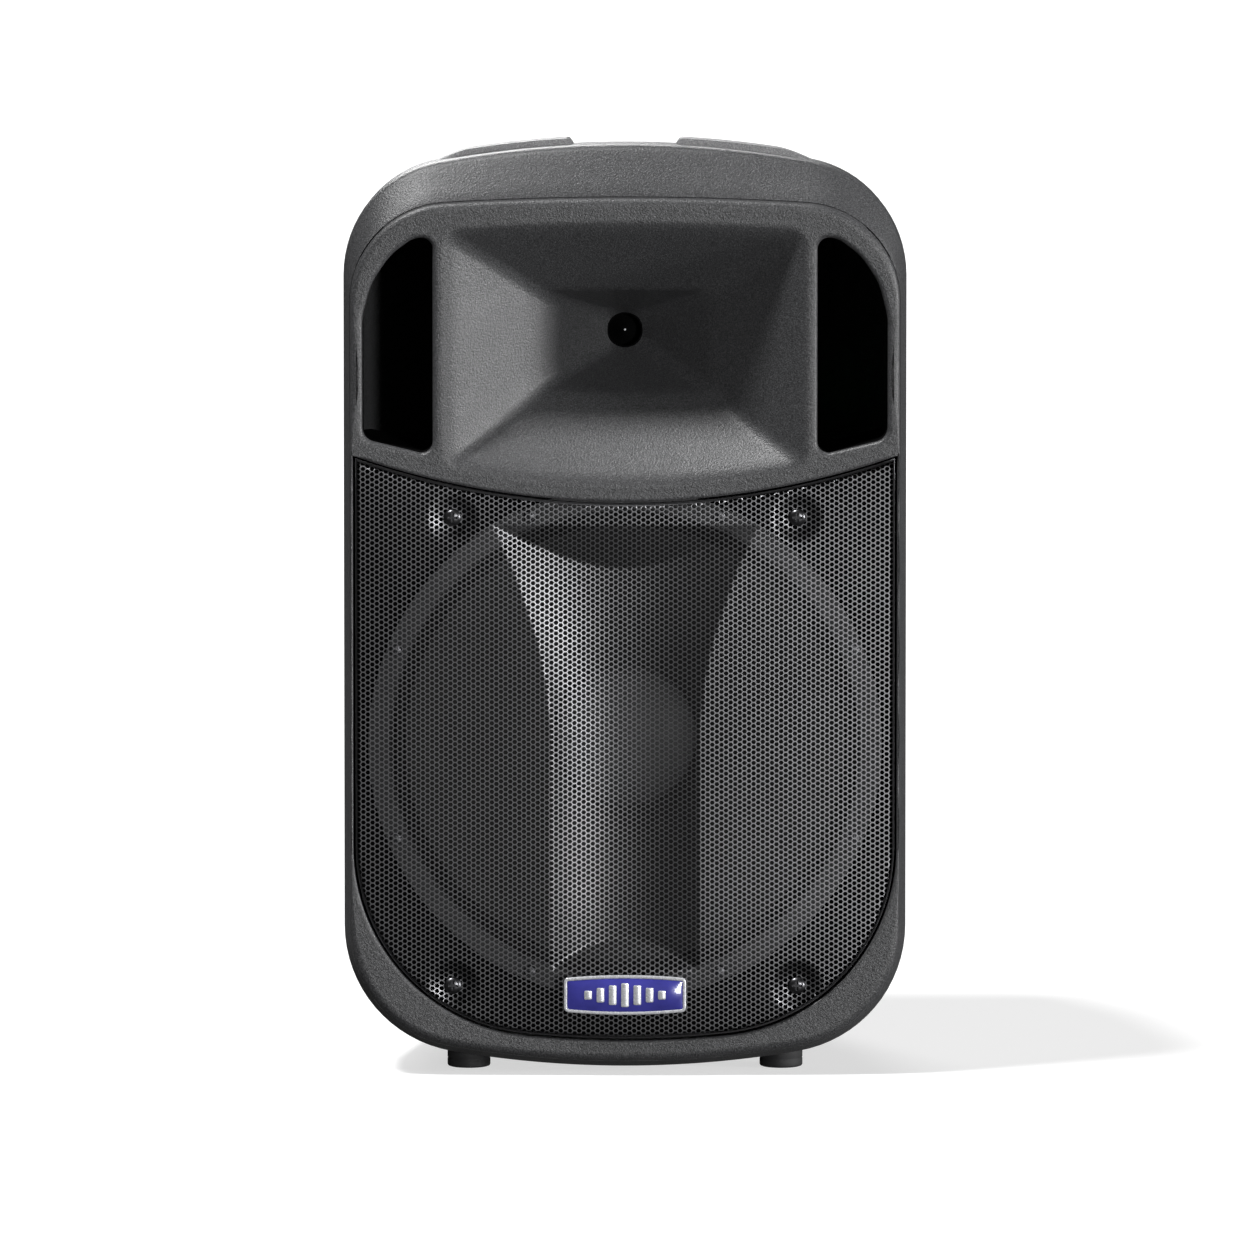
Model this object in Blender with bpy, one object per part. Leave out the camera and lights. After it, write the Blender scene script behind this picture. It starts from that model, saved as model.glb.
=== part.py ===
"""Loudspeaker cabinet: a moulded two-part box with a 15-inch woofer, a horn tweeter and a powered back panel.

Metres, +Z up. The front faces -Y, and the cabinet stands on its feet at z = 0, centred on the origin.
"""

from math import asin, atan2, cos, pi, radians, sin, sqrt

import bmesh
import bpy
from mathutils import Matrix, Vector

# ---- Driving dimensions -------------------------------------------------------------------------
GAP = 0.0003  # clearance between pieces that touch
WALL = 0.005

FACE_Y = -0.188  # flat front face of the horn panel
CROWN = 0.008  # how far the grille's middle stands in front of the face
BACK_Y = 0.196
PARTING_Y = FACE_Y + 0.040  # where the front shell meets the rear shell

HALF_WIDTH = 0.215
BOTTOM_Z = 0.004
TOP_Z = 0.7125
EDGE_ARC = 0.780  # radius of the bowed top and bottom edges
BOTTOM_CORNER = 0.099
TOP_CORNER = 0.088

RECESS_HALF = 0.2076
RECESS_BOTTOM = 0.027
RECESS_ARC = 0.758
RECESS_CORNER = 0.145
SMILE_Z = 0.4414  # lowest point of the grille's curved top edge
SMILE_ARC = 0.631
RECESS_DEPTH = 0.0163
BAFFLE_BACK = 0.024
PANEL_THICK = 0.008

WOOFER_Z = 0.254
FRAME_R = 0.1965
BOLT_CIRCLE_R = 0.1895
WOOFER_SCREWS = 8

HORN_Z = 0.5645
HORN_MID_DEPTH = 0.050
HORN_MID_Z = (0.520, 0.600)
HORN_DEPTH = 0.100
HORN_WALL = 0.004
THROAT_R = 0.0135

GRILLE_SCREW_X = 0.1315
GRILLE_SCREW_Z = (0.4295, 0.0697)
BADGE_Z = 0.0632

FOOT_R = 0.016
FRONT_FOOT = (0.120, -0.128)
REAR_FOOT = (0.082, 0.112)

HANDLE_Y = (-0.085, 0.075)
HANDLE_POCKET_HALF = 0.036
HANDLE_FLOOR = 0.635
BAR_HALF = 0.013

POLE_Y = -0.030
POLE_R = 0.0179
FLY_TOP = (0.105, 0.010)
FLY_REAR_Z = 0.612

PANEL_HALF = 0.094
PANEL_Z = (0.140, 0.560)
PANEL_Y = 0.1803  # inner face of the back panel's sheet
PANEL_SHEET = 0.003
PANEL_OUT = PANEL_Y + PANEL_SHEET
SOCKET_Z = 0.300
SOCKET_X = (0.058, 0.0, -0.058)
KNOB_Z = 0.347
BUTTON_Z = 0.262
INLET = (0.040, 0.188)
ROCKER = (-0.045, 0.188)
ROCKER_TILT = radians(-11)  # the lower end is pressed in
LATCH_RISE = 0.0128  # from a socket's centre to its release tab

DRIVER_Y = FACE_Y + HORN_DEPTH

ROUND = 28  # sides of large turned pieces


# ---- Materials ----------------------------------------------------------------------------------
def material(name, colour, roughness, metallic=0.0):
    made = bpy.data.materials.new(name)
    made.use_nodes = True
    shader = made.node_tree.nodes["Principled BSDF"]
    shader.inputs["Base Color"].default_value = (*colour, 1.0)
    shader.inputs["Roughness"].default_value = roughness
    shader.inputs["Metallic"].default_value = metallic
    return made


def make_materials():
    return {
        "shell": material("moulded_shell", (0.045, 0.046, 0.050), 0.62),
        "rubber": material("black_rubber", (0.015, 0.015, 0.016), 0.8),
        "mesh": material("painted_mesh", (0.030, 0.030, 0.033), 0.5, 0.3),
        "badge": material("badge_blue", (0.045, 0.052, 0.330), 0.3),
        "screw": material("black_screw", (0.020, 0.020, 0.022), 0.4, 0.6),
        "steel": material("zinc_steel", (0.55, 0.56, 0.58), 0.35, 1.0),
        "cast": material("cast_frame", (0.10, 0.10, 0.11), 0.5, 0.7),
        "ferrite": material("ferrite", (0.05, 0.05, 0.055), 0.6),
        "paper": material("pulp_cone", (0.030, 0.029, 0.030), 0.85),
        "cloth": material("treated_cloth", (0.035, 0.033, 0.032), 0.8),
        "copper": material("copper_coil", (0.60, 0.27, 0.14), 0.35, 1.0),
        "titanium": material("titanium_dome", (0.50, 0.50, 0.52), 0.3, 1.0),
        "panel": material("panel_paint", (0.030, 0.031, 0.034), 0.55, 0.2),
        "aluminium": material("black_aluminium", (0.060, 0.060, 0.065), 0.45, 0.8),
        "board": material("circuit_board", (0.03, 0.16, 0.07), 0.5),
        "knob": material("knob_plastic", (0.022, 0.022, 0.024), 0.45),
        "latch": material("latch_plastic", (0.30, 0.30, 0.32), 0.4, 0.5),
        "button": material("button_plastic", (0.35, 0.35, 0.36), 0.5),
    }


# ---- Outlines, as lists of (x, z) ---------------------------------------------------------------
def corner_points(half, edge_z, arc, corner, sign, steps):
    """The arc of one rounded corner, from the bowed edge to the upright side, and where the bow ends."""
    middle = edge_z - sign * (arc - sqrt((arc - corner) ** 2 - (half - corner) ** 2))
    bow_angle = asin((half - corner) / (arc - corner))
    points = []
    for step in range(steps + 1):
        turn = bow_angle + (pi / 2 - bow_angle) * step / steps
        points.append((half - corner + corner * sin(turn), middle + sign * corner * cos(turn)))
    return points, bow_angle


def rounded_outline(half, bottom, top, bottom_arc, top_arc, bottom_corner, top_corner, steps=5, bow=3):
    """A box outline with bowed top and bottom edges, from the bottom's middle, turning to +x."""
    low, low_angle = corner_points(half, bottom, bottom_arc, bottom_corner, -1, steps)
    high, high_angle = corner_points(half, top, top_arc, top_corner, 1, steps)
    right = []
    for step in range(bow):
        turn = low_angle * step / bow
        right.append((bottom_arc * sin(turn), bottom + bottom_arc * (1 - cos(turn))))
    right += low + high[::-1]
    for step in range(bow - 1, -1, -1):
        turn = high_angle * step / bow
        right.append((top_arc * sin(turn), top - top_arc * (1 - cos(turn))))
    left = [(-x, z) for x, z in right[-2:0:-1]]
    return right + left


def cabinet_outline(inset=0.0, half=HALF_WIDTH, bottom=BOTTOM_Z, top=TOP_Z, low_r=BOTTOM_CORNER,
                    top_r=TOP_CORNER):
    return rounded_outline(half - inset, bottom + inset, top - inset, EDGE_ARC - inset, EDGE_ARC - inset,
                           low_r - inset, top_r - inset)


def panel_outline(inset=0.0):
    return rounded_outline(0.210 - inset, 0.011 + inset, 0.674 - inset, EDGE_ARC - inset, 2.34 - inset,
                           0.092 - inset, 0.076 - inset)


def grille_outline(inset=0.0, steps=5, bow=3):
    """The grille opening: round below, with a top edge that curves down in the middle."""
    half = RECESS_HALF - inset
    low, low_angle = corner_points(half, RECESS_BOTTOM + inset, RECESS_ARC - inset, RECESS_CORNER - inset,
                                   -1, steps)
    right = []
    for step in range(bow):
        turn = low_angle * step / bow
        right.append(((RECESS_ARC - inset) * sin(turn), RECESS_BOTTOM + inset
                      + (RECESS_ARC - inset) * (1 - cos(turn))))
    right += low
    smile = SMILE_ARC + inset
    centre = SMILE_Z + SMILE_ARC
    for step in range(2 * bow, -1, -1):
        x = half * step / (2 * bow)
        right.append((x, centre - sqrt(smile ** 2 - x ** 2)))
    left = [(-x, z) for x, z in right[-2:0:-1]]
    return right + left


def arc_between(start, end, radius, steps):
    """Points of a left-hand arc after start, up to and with end."""
    a, b = Vector(start), Vector(end)
    middle = (a + b) / 2
    across = (b - a).orthogonal().normalized()
    centre = middle + across * sqrt(radius ** 2 - (b - a).length_squared / 4)
    first = atan2(a.y - centre.y, a.x - centre.x)
    swing = 2 * asin((b - a).length / 2 / radius)
    return [(centre.x + radius * cos(first + swing * k / steps),
             centre.y + radius * sin(first + swing * k / steps)) for k in range(1, steps + 1)]


def port_outline(side, grow=0.0):
    """One port opening beside the horn, on the side +1 or -1."""
    right = [(0.1467 - grow, 0.477 - grow), (0.2002 + grow, 0.490 - grow), (0.2002 + grow, 0.596)]
    right += arc_between((0.2002 + grow, 0.596), (0.160, 0.6436 + grow), 0.075 + grow, 4)
    right.append((0.1467 - grow, 0.6436 + grow))
    return right if side > 0 else [(-x, z) for x, z in right[::-1]]


def box_outline(x, z, half_x, half_z):
    return [(x - half_x, z - half_z), (x + half_x, z - half_z), (x + half_x, z + half_z),
            (x - half_x, z + half_z)]


# ---- Mesh helpers -------------------------------------------------------------------------------
def loft(rings, bm=None):
    """A closed solid through rings of points, each ring (y, outline), all with the same number of points."""
    bm = bm or bmesh.new()
    y, outline = rings[0]
    face = bm.faces.new([bm.verts.new((x, y, z)) for x, z in outline])
    for count, (y, outline) in enumerate(rings[1:]):
        grown = bmesh.ops.extrude_face_region(bm, geom=[face])["geom"]
        if count:
            bmesh.ops.delete(bm, geom=[face], context="FACES_ONLY")
        face = next(item for item in grown if isinstance(item, bmesh.types.BMFace))
        for vert, (x, z) in zip(face.verts, outline):
            vert.co = (x, y, z)
    bmesh.ops.recalc_face_normals(bm, faces=bm.faces)
    return bm


def prism(outline, low_y, high_y, bm=None):
    return loft([(low_y, outline), (high_y, outline)], bm)


def block(low, high, bm=None):
    """A box between two corners."""
    outline = box_outline((low[0] + high[0]) / 2, (low[2] + high[2]) / 2, (high[0] - low[0]) / 2,
                          (high[2] - low[2]) / 2)
    return prism(outline, low[1], high[1], bm)


def turned(profile, centre=(0, 0, 0), axis="Y", sides=ROUND, bm=None):
    """Turns (radius, height) points about an axis; a profile that starts off the axis is a closed ring."""
    bm = bm or bmesh.new()
    along = Vector((0, 1, 0)) if axis == "Y" else Vector((0, 0, 1))
    centre = Vector(centre)
    verts = [bm.verts.new(centre + along * height + Vector((radius, 0, 0))) for radius, height in profile]
    edges = [bm.edges.new(pair) for pair in zip(verts, verts[1:])]
    if profile[0][0] > 0:
        edges.append(bm.edges.new((verts[-1], verts[0])))
    bmesh.ops.spin(bm, geom=verts + edges, cent=centre, axis=along, angle=2 * pi, steps=sides, use_merge=True)
    bmesh.ops.remove_doubles(bm, verts=bm.verts, dist=1e-6)
    bmesh.ops.recalc_face_normals(bm, faces=bm.faces)
    return bm


def cylinder(centre, radius, low, high, axis="Y", sides=ROUND, bm=None):
    return turned([(0, low), (radius, low), (radius, high), (0, high)], centre, axis, sides, bm)


def bevel_all(bm, width, segments=1):
    bmesh.ops.bevel(bm, geom=bm.edges, affect="EDGES", offset=width, segments=segments, profile=0.5,
                    material=-1)
    return bm


def add(name, bm, finish, origin=(0, 0, 0)):
    """A named object from a bmesh in world positions, with its own origin."""
    bmesh.ops.translate(bm, verts=bm.verts, vec=-Vector(origin))
    mesh = bpy.data.meshes.new(name)
    bm.to_mesh(mesh)
    bm.free()
    mesh.shade_smooth()
    mesh.set_sharp_from_angle(angle=radians(32))
    mesh.materials.append(finish)
    obj = bpy.data.objects.new(name, mesh)
    obj.location = origin
    bpy.context.scene.collection.objects.link(obj)
    return obj


def helper(name, bm):
    mesh = bpy.data.meshes.new(name)
    bm.to_mesh(mesh)
    bm.free()
    obj = bpy.data.objects.new(name, mesh)
    obj.hide_render = True
    obj.display_type = "WIRE"
    bpy.context.scene.collection.objects.link(obj)
    return obj


def combine(target, tool, operation="DIFFERENCE"):
    step = target.modifiers.new(tool.name, "BOOLEAN")
    step.operation = operation
    step.object = tool
    step.solver = "EXACT"


def cut(target, name, bm):
    combine(target, helper(f"cut_{name}", bm))


def join(target, name, bm):
    combine(target, helper(f"join_{name}", bm), "UNION")


# ---- Enclosure ----------------------------------------------------------------------------------
def horn_ring(depth, half, bottom, top, low_arc, top_arc, corner, grow=0.0):
    return (FACE_Y + depth, rounded_outline(half + grow, bottom - grow, top + grow,
                                            low_arc + grow, top_arc + grow,
                                            corner + grow, corner + grow, 3, 3))


def horn_rings(grow, mouth_depth):
    r = THROAT_R
    return [
        horn_ring(mouth_depth, 0.1347, 0.4575, 0.651, 0.626, 1.81, 0.010, grow),
        horn_ring(HORN_MID_DEPTH, 0.066, *HORN_MID_Z, 1.2, 2.0, 0.008, grow),
        horn_ring(HORN_DEPTH, r, HORN_Z - r, HORN_Z + r, 1.1 * r, 1.1 * r, 0.85 * r, grow),
    ]


def make_front_shell(mat):
    rings = [
        (PARTING_Y, cabinet_outline()),
        (FACE_Y + 0.026, cabinet_outline()),
        (FACE_Y + 0.0045, panel_outline()),
        (FACE_Y + 0.0015, panel_outline(0.0004)),
        (FACE_Y, panel_outline(0.0015)),
    ]
    shell = add("front_shell", loft(rings), mat["shell"])
    cut(shell, "front_cavity", prism(cabinet_outline(0.0055), FACE_Y + BAFFLE_BACK, PARTING_Y + 0.002))
    horn_bay = rounded_outline(0.2045, 0.468, 0.6680, 5.0, 2.33, 0.008, 0.070)
    cut(shell, "horn_bay", prism(horn_bay, FACE_Y + PANEL_THICK, FACE_Y + BAFFLE_BACK + 0.001))
    join(shell, "horn_body", loft(horn_rings(HORN_WALL, PANEL_THICK / 2)))
    join(shell, "horn_flange", cylinder((0, 0, HORN_Z), 0.043, DRIVER_Y - 0.007, DRIVER_Y))
    mouth = horn_rings(0.0, 0.0)
    throat_y, throat = mouth[-1]
    flare = horn_ring(-0.002, 0.1374, 0.4550, 0.6535, 0.63, 1.82, 0.012)
    cut(shell, "horn_inside", loft([flare] + mouth + [(throat_y + 0.002, throat)]))
    cut(shell, "grille_recess", prism(grille_outline(), FACE_Y - 0.01, FACE_Y + RECESS_DEPTH))
    cut(shell, "woofer_pocket", cylinder((0, 0, WOOFER_Z), FRAME_R + 0.0008, FACE_Y + 0.0095,
                                         FACE_Y + RECESS_DEPTH + GAP))
    cut(shell, "woofer_hole", cylinder((0, 0, WOOFER_Z), 0.1845, FACE_Y + 0.0107, FACE_Y + 0.031, sides=40))
    for side, word in ((1, "right"), (-1, "left")):
        cut(shell, f"port_{word}", prism(port_outline(side), FACE_Y - 0.01, FACE_Y + 0.03))
    for row, z in enumerate(GRILLE_SCREW_Z):
        for side in (1, -1):
            place = (side * GRILLE_SCREW_X, 0, z)
            join(shell, f"boss_{row}_{side}", cylinder(place, 0.008, FACE_Y + 0.0026,
                                                         FACE_Y + 0.020, sides=16))
            cut(shell, f"boss_hole_{row}_{side}", cylinder(place, 0.0030,
                                                            FACE_Y - 0.01, FACE_Y + 0.0155, sides=12))
    cut(shell, "woofer_bolt_holes", woofer_screw_ring(0.0026, FACE_Y + 0.01, FACE_Y + 0.0215))
    return shell


def woofer_screw_places():
    """(x, z) of each screw, with the top pair either side of the middle."""
    turns = [2 * pi * (k + 0.5) / WOOFER_SCREWS for k in range(WOOFER_SCREWS)]
    return [(BOLT_CIRCLE_R * cos(turn), WOOFER_Z + BOLT_CIRCLE_R * sin(turn)) for turn in turns]


def woofer_screw_ring(radius, low, high):
    bm = bmesh.new()
    for x, z in woofer_screw_places():
        cylinder((x, 0, z), radius, low, high, sides=8, bm=bm)
    return bm


REAR_STATIONS = (  # y, half width, bottom, top, bottom corner, top corner
    (PARTING_Y + 0.0021, 0.2150, 0.004, 0.7125, 0.099, 0.088),
    (-0.100, 0.2140, 0.004, 0.7105, 0.098, 0.087),
    (0.060, 0.1820, 0.004, 0.6870, 0.088, 0.078),
    (0.186, 0.1240, 0.012, 0.6640, 0.066, 0.056),
    (BACK_Y, 0.1150, 0.021, 0.6550, 0.057, 0.047),
)


def station_at(y):
    """The rear shell's half width, bottom, top and corner radii at a depth."""
    for near, far in zip(REAR_STATIONS, REAR_STATIONS[1:]):
        if y <= far[0]:
            share = max(0.0, (y - near[0]) / (far[0] - near[0]))
            return [a + (b - a) * share for a, b in zip(near[1:], far[1:])]
    return REAR_STATIONS[-1][1:]


def station_outline(y, inset=0.0):
    half, bottom, top, low_r, top_r = station_at(y)
    return cabinet_outline(inset, half, bottom, top, low_r, top_r)


def top_at(x, y):
    """Height of the rear shell's top at a place away from its corners."""
    return station_at(y)[2] - (EDGE_ARC - sqrt(EDGE_ARC ** 2 - x ** 2))


def bottom_at(x, y):
    return station_at(y)[1] + (EDGE_ARC - sqrt(EDGE_ARC ** 2 - x ** 2))


def top_pad(side):
    """A raised pad on the roof beside the handle."""
    rings = []
    for y, rise in ((PARTING_Y + 0.0045, 0.0010), (PARTING_Y + 0.010, 0.0040), (-0.100, 0.0040),
                    (0.045, 0.0040),
                    (0.052, 0.0010)):
        top = [(0.040 + 0.088 * k / 5, rise) for k in range(6)]
        outline = [(0.040, -0.003)] + top + [(0.128, -0.003)]
        ring = [(side * x, top_at(x, y) + up) for x, up in outline]
        rings.append((y, ring if side < 0 else ring[::-1]))
    return loft(rings)


def make_rear_shell(mat):
    shell = add("rear_shell", loft([(s[0], station_outline(s[0])) for s in REAR_STATIONS]), mat["shell"])
    hollow = [(PARTING_Y - 0.01, cabinet_outline(WALL))]
    hollow += [(s[0], station_outline(s[0], WALL)) for s in REAR_STATIONS[1:-1]]
    hollow.append((BACK_Y - WALL, station_outline(0.190, WALL)))
    cut(shell, "rear_cavity", loft(hollow))
    for side, word in ((1, "right"), (-1, "left")):
        join(shell, f"pad_{word}", top_pad(side))
    low, high = PANEL_Z
    join(shell, "panel_frame", block((-PANEL_HALF - 0.005, 0.172, low - 0.005),
                                     (PANEL_HALF + 0.005, BACK_Y - 0.003, high + 0.005)))
    cut(shell, "panel_seat", block((-PANEL_HALF - 0.0006, PANEL_Y - GAP, low - 0.0006),
                                   (PANEL_HALF + 0.0006, BACK_Y + 0.01, high + 0.0006)))
    cut(shell, "panel_opening", block((-PANEL_HALF + 0.007, 0.160, low + 0.007),
                                      (PANEL_HALF - 0.007, BACK_Y, high - 0.007)))
    near, far = HANDLE_Y
    half = HANDLE_POCKET_HALF
    tub = []
    for y in (near - 0.004, far + 0.004):
        low_z, high_z = HANDLE_FLOOR - 0.004, top_at(0, y) - 0.003
        tub.append((y, box_outline(0, (low_z + high_z) / 2, half + 0.004, (high_z - low_z) / 2)))
    join(shell, "handle_tub", loft(tub))
    cut(shell, "handle_pocket", block((-half, near, HANDLE_FLOOR), (half, far, TOP_Z + 0.01)))
    cut(shell, "pole_hole", cylinder((0, POLE_Y, 0), POLE_R + 0.0045, -0.01, 0.02, "Z"))
    for side in (1, -1):
        x, y = side * FLY_TOP[0], FLY_TOP[1]
        top = top_at(x, y)
        join(shell, f"fly_boss_{side}", cylinder((x, y, 0), 0.012, top - 0.030, top - 0.002, "Z", 16))
        cut(shell, f"fly_hole_{side}", cylinder((x, y, 0), 0.0083, top - 0.024, top + 0.02, "Z", 16))
    join(shell, "fly_boss_rear", cylinder((0, 0, FLY_REAR_Z), 0.012, BACK_Y - 0.026,
                                           BACK_Y - 0.002, sides=16))
    cut(shell, "fly_hole_rear", cylinder((0, 0, FLY_REAR_Z), 0.0083, BACK_Y - 0.021, BACK_Y + 0.01, sides=16))
    return shell


def make_shell_gasket(mat):
    ring = add("shell_gasket", prism(cabinet_outline(0.0015), PARTING_Y + GAP,
                                     PARTING_Y + 0.0018), mat["rubber"])
    cut(ring, "gasket_inside", prism(cabinet_outline(0.0048), PARTING_Y - 0.01, PARTING_Y + 0.01))


def make_port_ducts(mat):
    for side, word in ((1, "right"), (-1, "left")):
        low, high = FACE_Y + PANEL_THICK + GAP, FACE_Y + 0.100
        duct = add(f"port_duct_{word}", prism(port_outline(side, 0.0030), low, high), mat["shell"])
        cut(duct, f"duct_bore_{word}", prism(port_outline(side, 0.0004), low - 0.01, high + 0.01))


# ---- Grille, badge and their screws -------------------------------------------------------------
GRILLE_EDGE = 0.0018  # clearance from the recess all round
GRILLE_DOME = ((0.0, 0.0120), (0.0, 0.0040), (0.0035, 0.0008), (0.030, -0.0030), (0.080, -0.0065),
               (0.125, -CROWN))
CHANNEL = ((0.101, 0.424), (0.083, 0.385), (0.066, 0.334), (0.059, 0.297), (0.056, 0.265), (0.056, 0.082))
CHANNEL_FLOOR = 0.0010


def grille_dome(inset, back):
    rings = [(FACE_Y + y + back, grille_outline(GRILLE_EDGE + inset + deep)) for deep, y in GRILLE_DOME]
    if back > 0:
        rings[0] = (FACE_Y + 0.02, rings[0][1])
    return loft(rings)


def grille_pockets(grow):
    """The sunk middle channel and the four screw dimples, as one cutter."""
    right = [(x + grow, z) for x, z in CHANNEL]
    right[0] = (right[0][0], right[0][1] + grow)
    right[-1] = (right[-1][0], right[-1][1] - grow)
    outline = right + [(-x, z) for x, z in right[::-1]]
    bm = prism(outline, FACE_Y - 0.02, FACE_Y + CHANNEL_FLOOR + grow)
    for z in GRILLE_SCREW_Z:
        for side in (1, -1):
            cylinder((side * GRILLE_SCREW_X, 0, z), 0.0105 + grow,
                     FACE_Y - 0.02, FACE_Y + CHANNEL_FLOOR + grow, sides=16, bm=bm)
    return bm


def make_grille(mat):
    sheet = 0.0015
    grille = add("grille", grille_dome(0.0, 0.0), mat["mesh"])
    cut(grille, "grille_pockets", grille_pockets(0.0))
    inside = helper("cut_grille_inside", grille_dome(sheet, sheet))
    combine(inside, helper("cut_grille_inside_pockets", grille_pockets(sheet)))
    combine(grille, inside)
    for row, z in enumerate(GRILLE_SCREW_Z):
        for side in (1, -1):
            cut(grille, f"grille_hole_{row}_{side}",
                cylinder((side * GRILLE_SCREW_X, 0, z), 0.0034, FACE_Y - 0.01, FACE_Y + 0.01, sides=12))


def make_grille_screws(mat):
    number = 0
    for z in GRILLE_SCREW_Z:
        for side in (-1, 1):
            number += 1
            seat = FACE_Y + CHANNEL_FLOOR - GAP
            profile = [(0, seat - 0.0040), (0.0035, seat - 0.0037), (0.0060, seat - 0.0022), (0.00675, seat),
                       (0.0024, seat), (0.0024, FACE_Y + 0.0145), (0, FACE_Y + 0.0150)]
            add(f"grille_screw_{number}", turned(profile, (side * GRILLE_SCREW_X, 0, z), sides=16),
                mat["screw"])


def make_badge(mat):
    outline = rounded_outline(0.0467, BADGE_Z - 0.01535, BADGE_Z + 0.01535, 0.46, 0.46, 0.0033, 0.0033, 2, 3)
    add("badge_plate", prism(outline, FACE_Y - 0.0078, FACE_Y - 0.0048), mat["badge"])


# ---- Feet, handle, pole socket and fly points ---------------------------------------------------
def make_feet(mat):
    for word, (x, y) in (("front", FRONT_FOOT), ("rear", REAR_FOOT)):
        for side, hand in ((-1, "left"), (1, "right")):
            centre = (side * x, y, 0)
            profile = [(0, 0), (FOOT_R - 0.0025, 0), (FOOT_R, 0.002), (FOOT_R + 0.0005, 0.008), (0, 0.008)]
            bm = turned(profile, centre, "Z", 20)
            for vert in bm.verts:
                if vert.co.z > 0.007:
                    vert.co.z = bottom_at(vert.co.x, vert.co.y) - 0.0005
            add(f"foot_{word}_{hand}", bm, mat["rubber"])


def make_handle(mat):
    """A grip bar along the middle of the roof pocket, on a block at each end."""
    near, far = HANDLE_Y
    slope = (top_at(0, far) - top_at(0, near)) / (far - near)
    low_end, high_end = near + GAP, far - GAP
    bm = bmesh.new()
    outline = [(low_end, 0.050), (low_end, 0.001), (high_end, 0.001), (high_end, 0.050),
               (high_end - 0.016, 0.050),
               (high_end - 0.024, 0.021), (low_end + 0.024, 0.021), (low_end + 0.016, 0.050)]
    side = [(y, top_at(0, near) + slope * (y - near) - drop) for y, drop in outline]
    floor = HANDLE_FLOOR + GAP
    side = [(y, max(z, floor)) for y, z in side]
    face = bm.faces.new([bm.verts.new((-BAR_HALF, y, z)) for y, z in side])
    grown = bmesh.ops.extrude_face_region(bm, geom=[face])["geom"]
    bmesh.ops.translate(bm, verts=[v for v in grown if isinstance(v, bmesh.types.BMVert)],
                        vec=(2 * BAR_HALF, 0, 0))
    bmesh.ops.recalc_face_normals(bm, faces=bm.faces)
    lengthwise = [e for e in bm.edges if abs(e.verts[0].co.x - e.verts[1].co.x) < 1e-6]
    grip = [e for e in lengthwise if min(v.co.y for v in e.verts) < -0.02 < max(v.co.y for v in e.verts)]
    bmesh.ops.bevel(bm, geom=grip, affect="EDGES", offset=0.005, segments=2, profile=0.5, material=-1)
    add("top_handle", bm, mat["rubber"])


def make_pole_socket(mat):
    inner, outer, flange = POLE_R, POLE_R + 0.0035, 0.040
    low, shelf, top = 0.0042, 0.0110, 0.085
    profile = [(inner, low), (outer, low), (outer, shelf), (flange, shelf), (flange, shelf + 0.003),
               (outer, shelf + 0.003), (outer, top), (0, top), (0, top - 0.003), (inner, top - 0.003)]
    bm = bmesh.new()
    centre = Vector((0, POLE_Y, 0))
    verts = [bm.verts.new(centre + Vector((r, 0, z))) for r, z in profile]
    edges = [bm.edges.new(pair) for pair in zip(verts, verts[1:] + verts[:1])]
    edges.remove(next(e for e in edges if all(abs(v.co.x) < 1e-9 for v in e.verts)))
    wire = [e for e in bm.edges if all(abs(v.co.x) < 1e-9 for v in e.verts)]
    bmesh.ops.delete(bm, geom=wire, context="EDGES")
    bmesh.ops.spin(bm, geom=bm.verts[:] + bm.edges[:], cent=centre, axis=(0, 0, 1), angle=2 * pi, steps=ROUND,
                   use_merge=True)
    bmesh.ops.remove_doubles(bm, verts=bm.verts, dist=1e-6)
    bmesh.ops.recalc_face_normals(bm, faces=bm.faces)
    add("pole_socket", bm, mat["screw"])


def insert_profile(top, length):
    """A threaded insert: a blind bore in a round body, from the bore's floor to its foot."""
    bore, body = 0.0034, 0.0080
    return [(0, top - length + 0.003), (bore, top - length + 0.003), (bore, top), (body, top),
            (body, top - length),
            (0, top - length)]


def make_fly_inserts(mat):
    for side, word in ((-1, "left"), (1, "right")):
        x, y = side * FLY_TOP[0], FLY_TOP[1]
        profile = insert_profile(top_at(x, y) + 0.0015, 0.024)
        add(f"fly_insert_top_{word}", turned(profile, (x, y, 0), "Z", 16), mat["steel"])
    add("fly_insert_rear", turned(insert_profile(BACK_Y - 0.001, 0.019), (0, 0, FLY_REAR_Z), sides=16),
        mat["steel"])


# ---- Woofer, turned about the Y axis ------------------------------------------------------------
def woofer_piece(name, profile, finish):
    """A woofer part from (radius, depth behind the face) points."""
    origin = (0, FACE_Y, WOOFER_Z)
    return add(name, turned(profile, origin), finish, origin)


def strip(centre_line, thickness):
    """A closed profile of even depth from a line of (radius, depth) points."""
    return centre_line + [(r, y + thickness) for r, y in centre_line[::-1]]


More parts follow.
